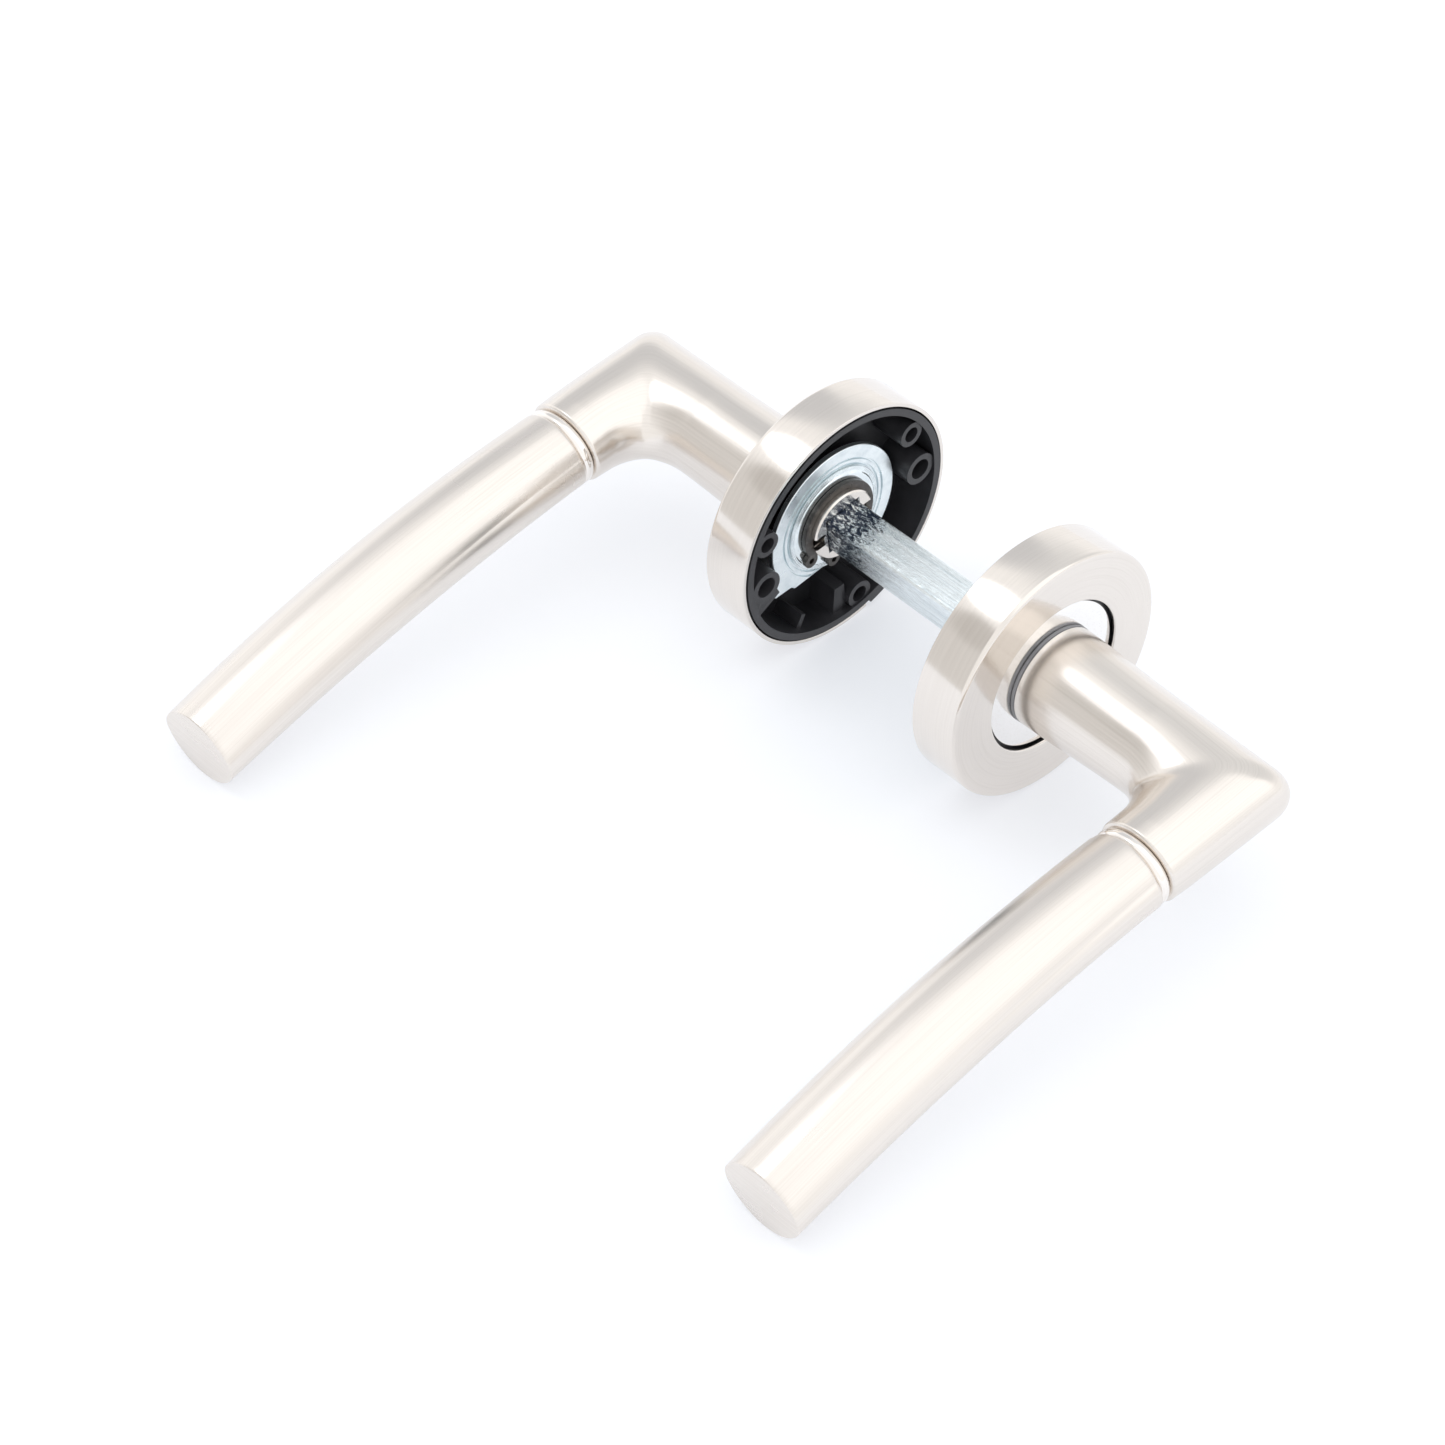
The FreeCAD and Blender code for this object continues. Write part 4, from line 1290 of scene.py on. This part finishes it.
def dished_mesh(name):
    """Dished washer with a flat rim."""
    sizes = setting("handle_mechanism")
    inner = setting("handle_lever").spigot_radius + BORE_CLEARANCE
    back, front = low("thrust_washer", 0) - DOOR_HALF, high("thrust_washer", 0) - DOOR_HALF
    inside, rim = back + DISH_WALL, sizes.rim_radius
    outline = [(back, inner), (back, rim - DISH_WALL), (inside, rim), (inside, sizes.washer_radius),
               (front, sizes.washer_radius), (front, rim - DISH_WALL), (inside, rim - 2 * DISH_WALL),
               (inside, inner)]
    radii = [DISH_BORE_EDGE, DISH_BEND, DISH_BEND, DISH_RIM_EDGE, DISH_RIM_EDGE, DISH_INNER_BEND,
             DISH_INNER_BEND, DISH_BORE_EDGE]
    return turned(name, rounded(outline, radii, steps=4))


class HandleWashers(bpy.types.Operator):
    """Build the dished thrust washers with their turned ridges"""
    bl_idname = "handle.thrust_washers"
    bl_label = "Thrust Washers"

    def execute(self, context):
        both_halves(dished_mesh, "thrust_washer", "lever")
        sizes = setting("handle_mechanism")
        values = {"First radius": sizes.rim_radius + RIDGE_START, "Spacing": RIDGE_SPACING,
                  "Count": RIDGE_COUNT, "Ridge radius": sizes.ridge_radius,
                  "Place": low("thrust_washer", 0) + DISH_WALL}
        grown_halves("washer_ridges", "thrust_washer", "lever", ridge_tree, values)
        return {"FINISHED"}


class HandleSprings(bpy.types.Operator):
    """Build the return springs"""
    bl_idname = "handle.return_springs"
    bl_label = "Return Springs"

    def execute(self, context):
        sizes = setting("handle_mechanism")
        values = {"Coil radius": sizes.coil_radius, "Wire radius": sizes.wire_radius,
                  "Start": out(SPRING_OUT), "Pitch": sizes.coil_pitch, "Turns": sizes.coil_turns,
                  "Start angle": sizes.coil_start, "Leg": sizes.leg_length}
        grown_halves("return_spring", "return_spring", "rose", coil_tree, values)
        return {"FINISHED"}


class HandleScrews(bpy.types.Operator):
    """Build the grub screws under the necks"""
    bl_idname = "handle.grub_screws"
    bl_label = "Grub Screws"

    def execute(self, context):
        softened_halves("grub_screw", "lever", setting("handle_mechanism").plate_edge)
        return {"FINISHED"}


# ---------------------------------------------------------------- stage

def lying_turn():
    """Turn about X that lays the rose rims and the grip ends on the floor together."""
    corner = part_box("right_grip")[0]
    radius = high("rose_cover", 1)
    away = math.hypot(corner[1], corner[2])
    return math.asin(radius / away) - math.atan2(-corner[2], -corner[1])


def studio_world(sky):
    """White studio seen directly, with soft lights and greyer walls seen in reflections."""
    world = bpy.data.worlds.new("Studio")
    bpy.context.scene.world = world
    world.use_nodes = True
    tree = world.node_tree
    nodes, links = tree.nodes, tree.links
    nodes.clear()
    output = nodes.new("ShaderNodeOutputWorld")
    background = nodes.new("ShaderNodeBackground")
    links.new(background.outputs[0], output.inputs[0])
    direction = nodes.new("ShaderNodeTexCoord").outputs["Generated"]
    shade = nodes.new("ShaderNodeRGB")
    shade.outputs[0].default_value = (1, 1, 1, 1)
    current = shade.outputs[0]
    for azimuth, elevation, inner, outer, tone in STUDIO_PATCHES:
        a, e = math.radians(azimuth), math.radians(elevation)
        dot = nodes.new("ShaderNodeVectorMath")
        dot.operation = "DOT_PRODUCT"
        dot.inputs[1].default_value = (math.cos(a) * math.cos(e), math.sin(a) * math.cos(e), math.sin(e))
        links.new(direction, dot.inputs[0])
        edge = nodes.new("ShaderNodeMapRange")
        edge.interpolation_type = "SMOOTHSTEP"
        edge.inputs["From Min"].default_value = math.cos(math.radians(outer))
        edge.inputs["From Max"].default_value = math.cos(math.radians(inner))
        links.new(dot.outputs["Value"], edge.inputs["Value"])
        mix = nodes.new("ShaderNodeMix")
        mix.data_type = "RGBA"
        mix.inputs[7].default_value = (*tone, 1)
        links.new(edge.outputs["Result"], mix.inputs["Factor"])
        links.new(current, mix.inputs[6])
        current = mix.outputs[2]
    seen = nodes.new("ShaderNodeLightPath")
    direct = nodes.new("ShaderNodeMix")
    direct.data_type = "RGBA"
    direct.inputs[7].default_value = (1, 1, 1, 1)
    links.new(seen.outputs["Is Camera Ray"], direct.inputs["Factor"])
    links.new(current, direct.inputs[6])
    links.new(direct.outputs[2], background.inputs["Color"])
    background.inputs["Strength"].default_value = sky


# Azimuth from +X and elevation in degrees, inner and outer size in degrees, and brightness.
STUDIO_PATCHES = (
    (95, 40, 16, 44, (0.78, 0.79, 0.80)),
    (172, 15, 10, 20, (1.12, 1.12, 1.12)),
    (146, 32, 11, 24, (0.66, 0.67, 0.69)),
    (30, 38, 20, 34, (1.24, 1.24, 1.24)),
    (236, 22, 14, 36, (0.72, 0.71, 0.70)),
    (60, 72, 18, 32, (1.22, 1.22, 1.22)),
    (231, 45, 7, 13, (0.60, 0.585, 0.57)),
    (196, 61, 9, 12, (2.3, 2.32, 2.38)),
)


def studio_floor(turn):
    """Large pale floor under the lying handle."""
    tone = setting("handle_stage").floor
    made = Finish("Pale floor", tone, 0.0, 0.6)
    grain = made.noise(False, even(400), 2.0, 0.5)
    paler = tuple(min(1.0, level * 1.01) for level in tone)
    made.tint(grain, tone, paler)
    made.shader.inputs["Emission Color"].default_value = (*setting("handle_stage").floor_glow, 1)
    made.shader.inputs["Emission Strength"].default_value = 1.0
    work = bmesh.new()
    bmesh.ops.create_grid(work, x_segments=1, y_segments=1, size=4.0)
    mesh = bpy.data.meshes.new("floor")
    work.to_mesh(mesh)
    work.free()
    mesh.materials.append(made.material)
    floor = bpy.data.objects.new("floor", mesh)
    bpy.context.scene.collection.objects.link(floor)
    tilt = Matrix.Rotation(-turn, 4, "X")
    floor.matrix_world = tilt @ Matrix.Translation((0, 0, -high("rose_cover", 1)))
    return tilt


class HandleStage(bpy.types.Operator):
    """Build the floor, the studio light and the camera"""
    bl_idname = "handle.stage"
    bl_label = "Stage"

    def execute(self, context):
        stage = setting("handle_stage")
        tilt = studio_floor(lying_turn())
        studio_world(stage.sky)
        sine_a, cosine_a = math.sin(stage.azimuth), math.cos(stage.azimuth)
        sine_e, cosine_e = math.sin(stage.elevation), math.cos(stage.elevation)
        back = Vector((sine_a * cosine_e, -cosine_a * cosine_e, sine_e))
        right = Vector((cosine_a, sine_a, 0))
        above = Vector((-sine_a * sine_e, cosine_a * sine_e, cosine_e))
        lens = bpy.data.cameras.new("camera")
        lens.sensor_width = 36
        lens.lens = stage.lens
        lens.clip_start = 0.01
        camera = bpy.data.objects.new("camera", lens)
        context.scene.collection.objects.link(camera)
        place = Matrix((right, above, back)).transposed().to_4x4()
        place.translation = back * stage.distance - right * stage.aside - above * stage.above
        camera.matrix_world = tilt @ place
        context.scene.camera = camera
        context.scene.view_settings.view_transform = "Standard"
        return {"FINISHED"}


OPERATORS = (HandleSpindle, HandleElbows, HandleGrips, HandleTrimRings, HandleCovers, HandleDiscs,
             HandleBases,
             HandlePlates, HandleWashers, HandleSprings, HandleScrews, HandleStage)


class HandlePanel(bpy.types.Panel):
    """List of the handle's pieces"""
    bl_idname = "VIEW3D_PT_handle"
    bl_label = "Door Lever Handle"
    bl_space_type = "VIEW_3D"
    bl_region_type = "UI"
    bl_category = "Handle"

    def draw(self, context):
        for operator in OPERATORS:
            self.layout.operator(operator.bl_idname)


GROUP_NAMES = ("handle_lever", "handle_rose", "handle_mechanism", "handle_finishes", "handle_stage")


def register():
    """Register the settings, operators and panel."""
    for name, group in zip(GROUP_NAMES, SETTINGS):
        bpy.utils.register_class(group)
        setattr(bpy.types.Scene, name, bpy.props.PointerProperty(type=group))
    for operator in OPERATORS:
        bpy.utils.register_class(operator)
    bpy.utils.register_class(HandlePanel)


def unregister():
    """Take the settings, operators and panel out again."""
    bpy.utils.unregister_class(HandlePanel)
    for operator in reversed(OPERATORS):
        bpy.utils.unregister_class(operator)
    for name, group in zip(GROUP_NAMES, SETTINGS):
        delattr(bpy.types.Scene, name)
        bpy.utils.unregister_class(group)


def main():
    """Build everything in order."""
    register()
    for operator in OPERATORS:
        group, call = operator.bl_idname.split(".")
        getattr(getattr(bpy.ops, group), call)()


if __name__ == "__main__":
    main()
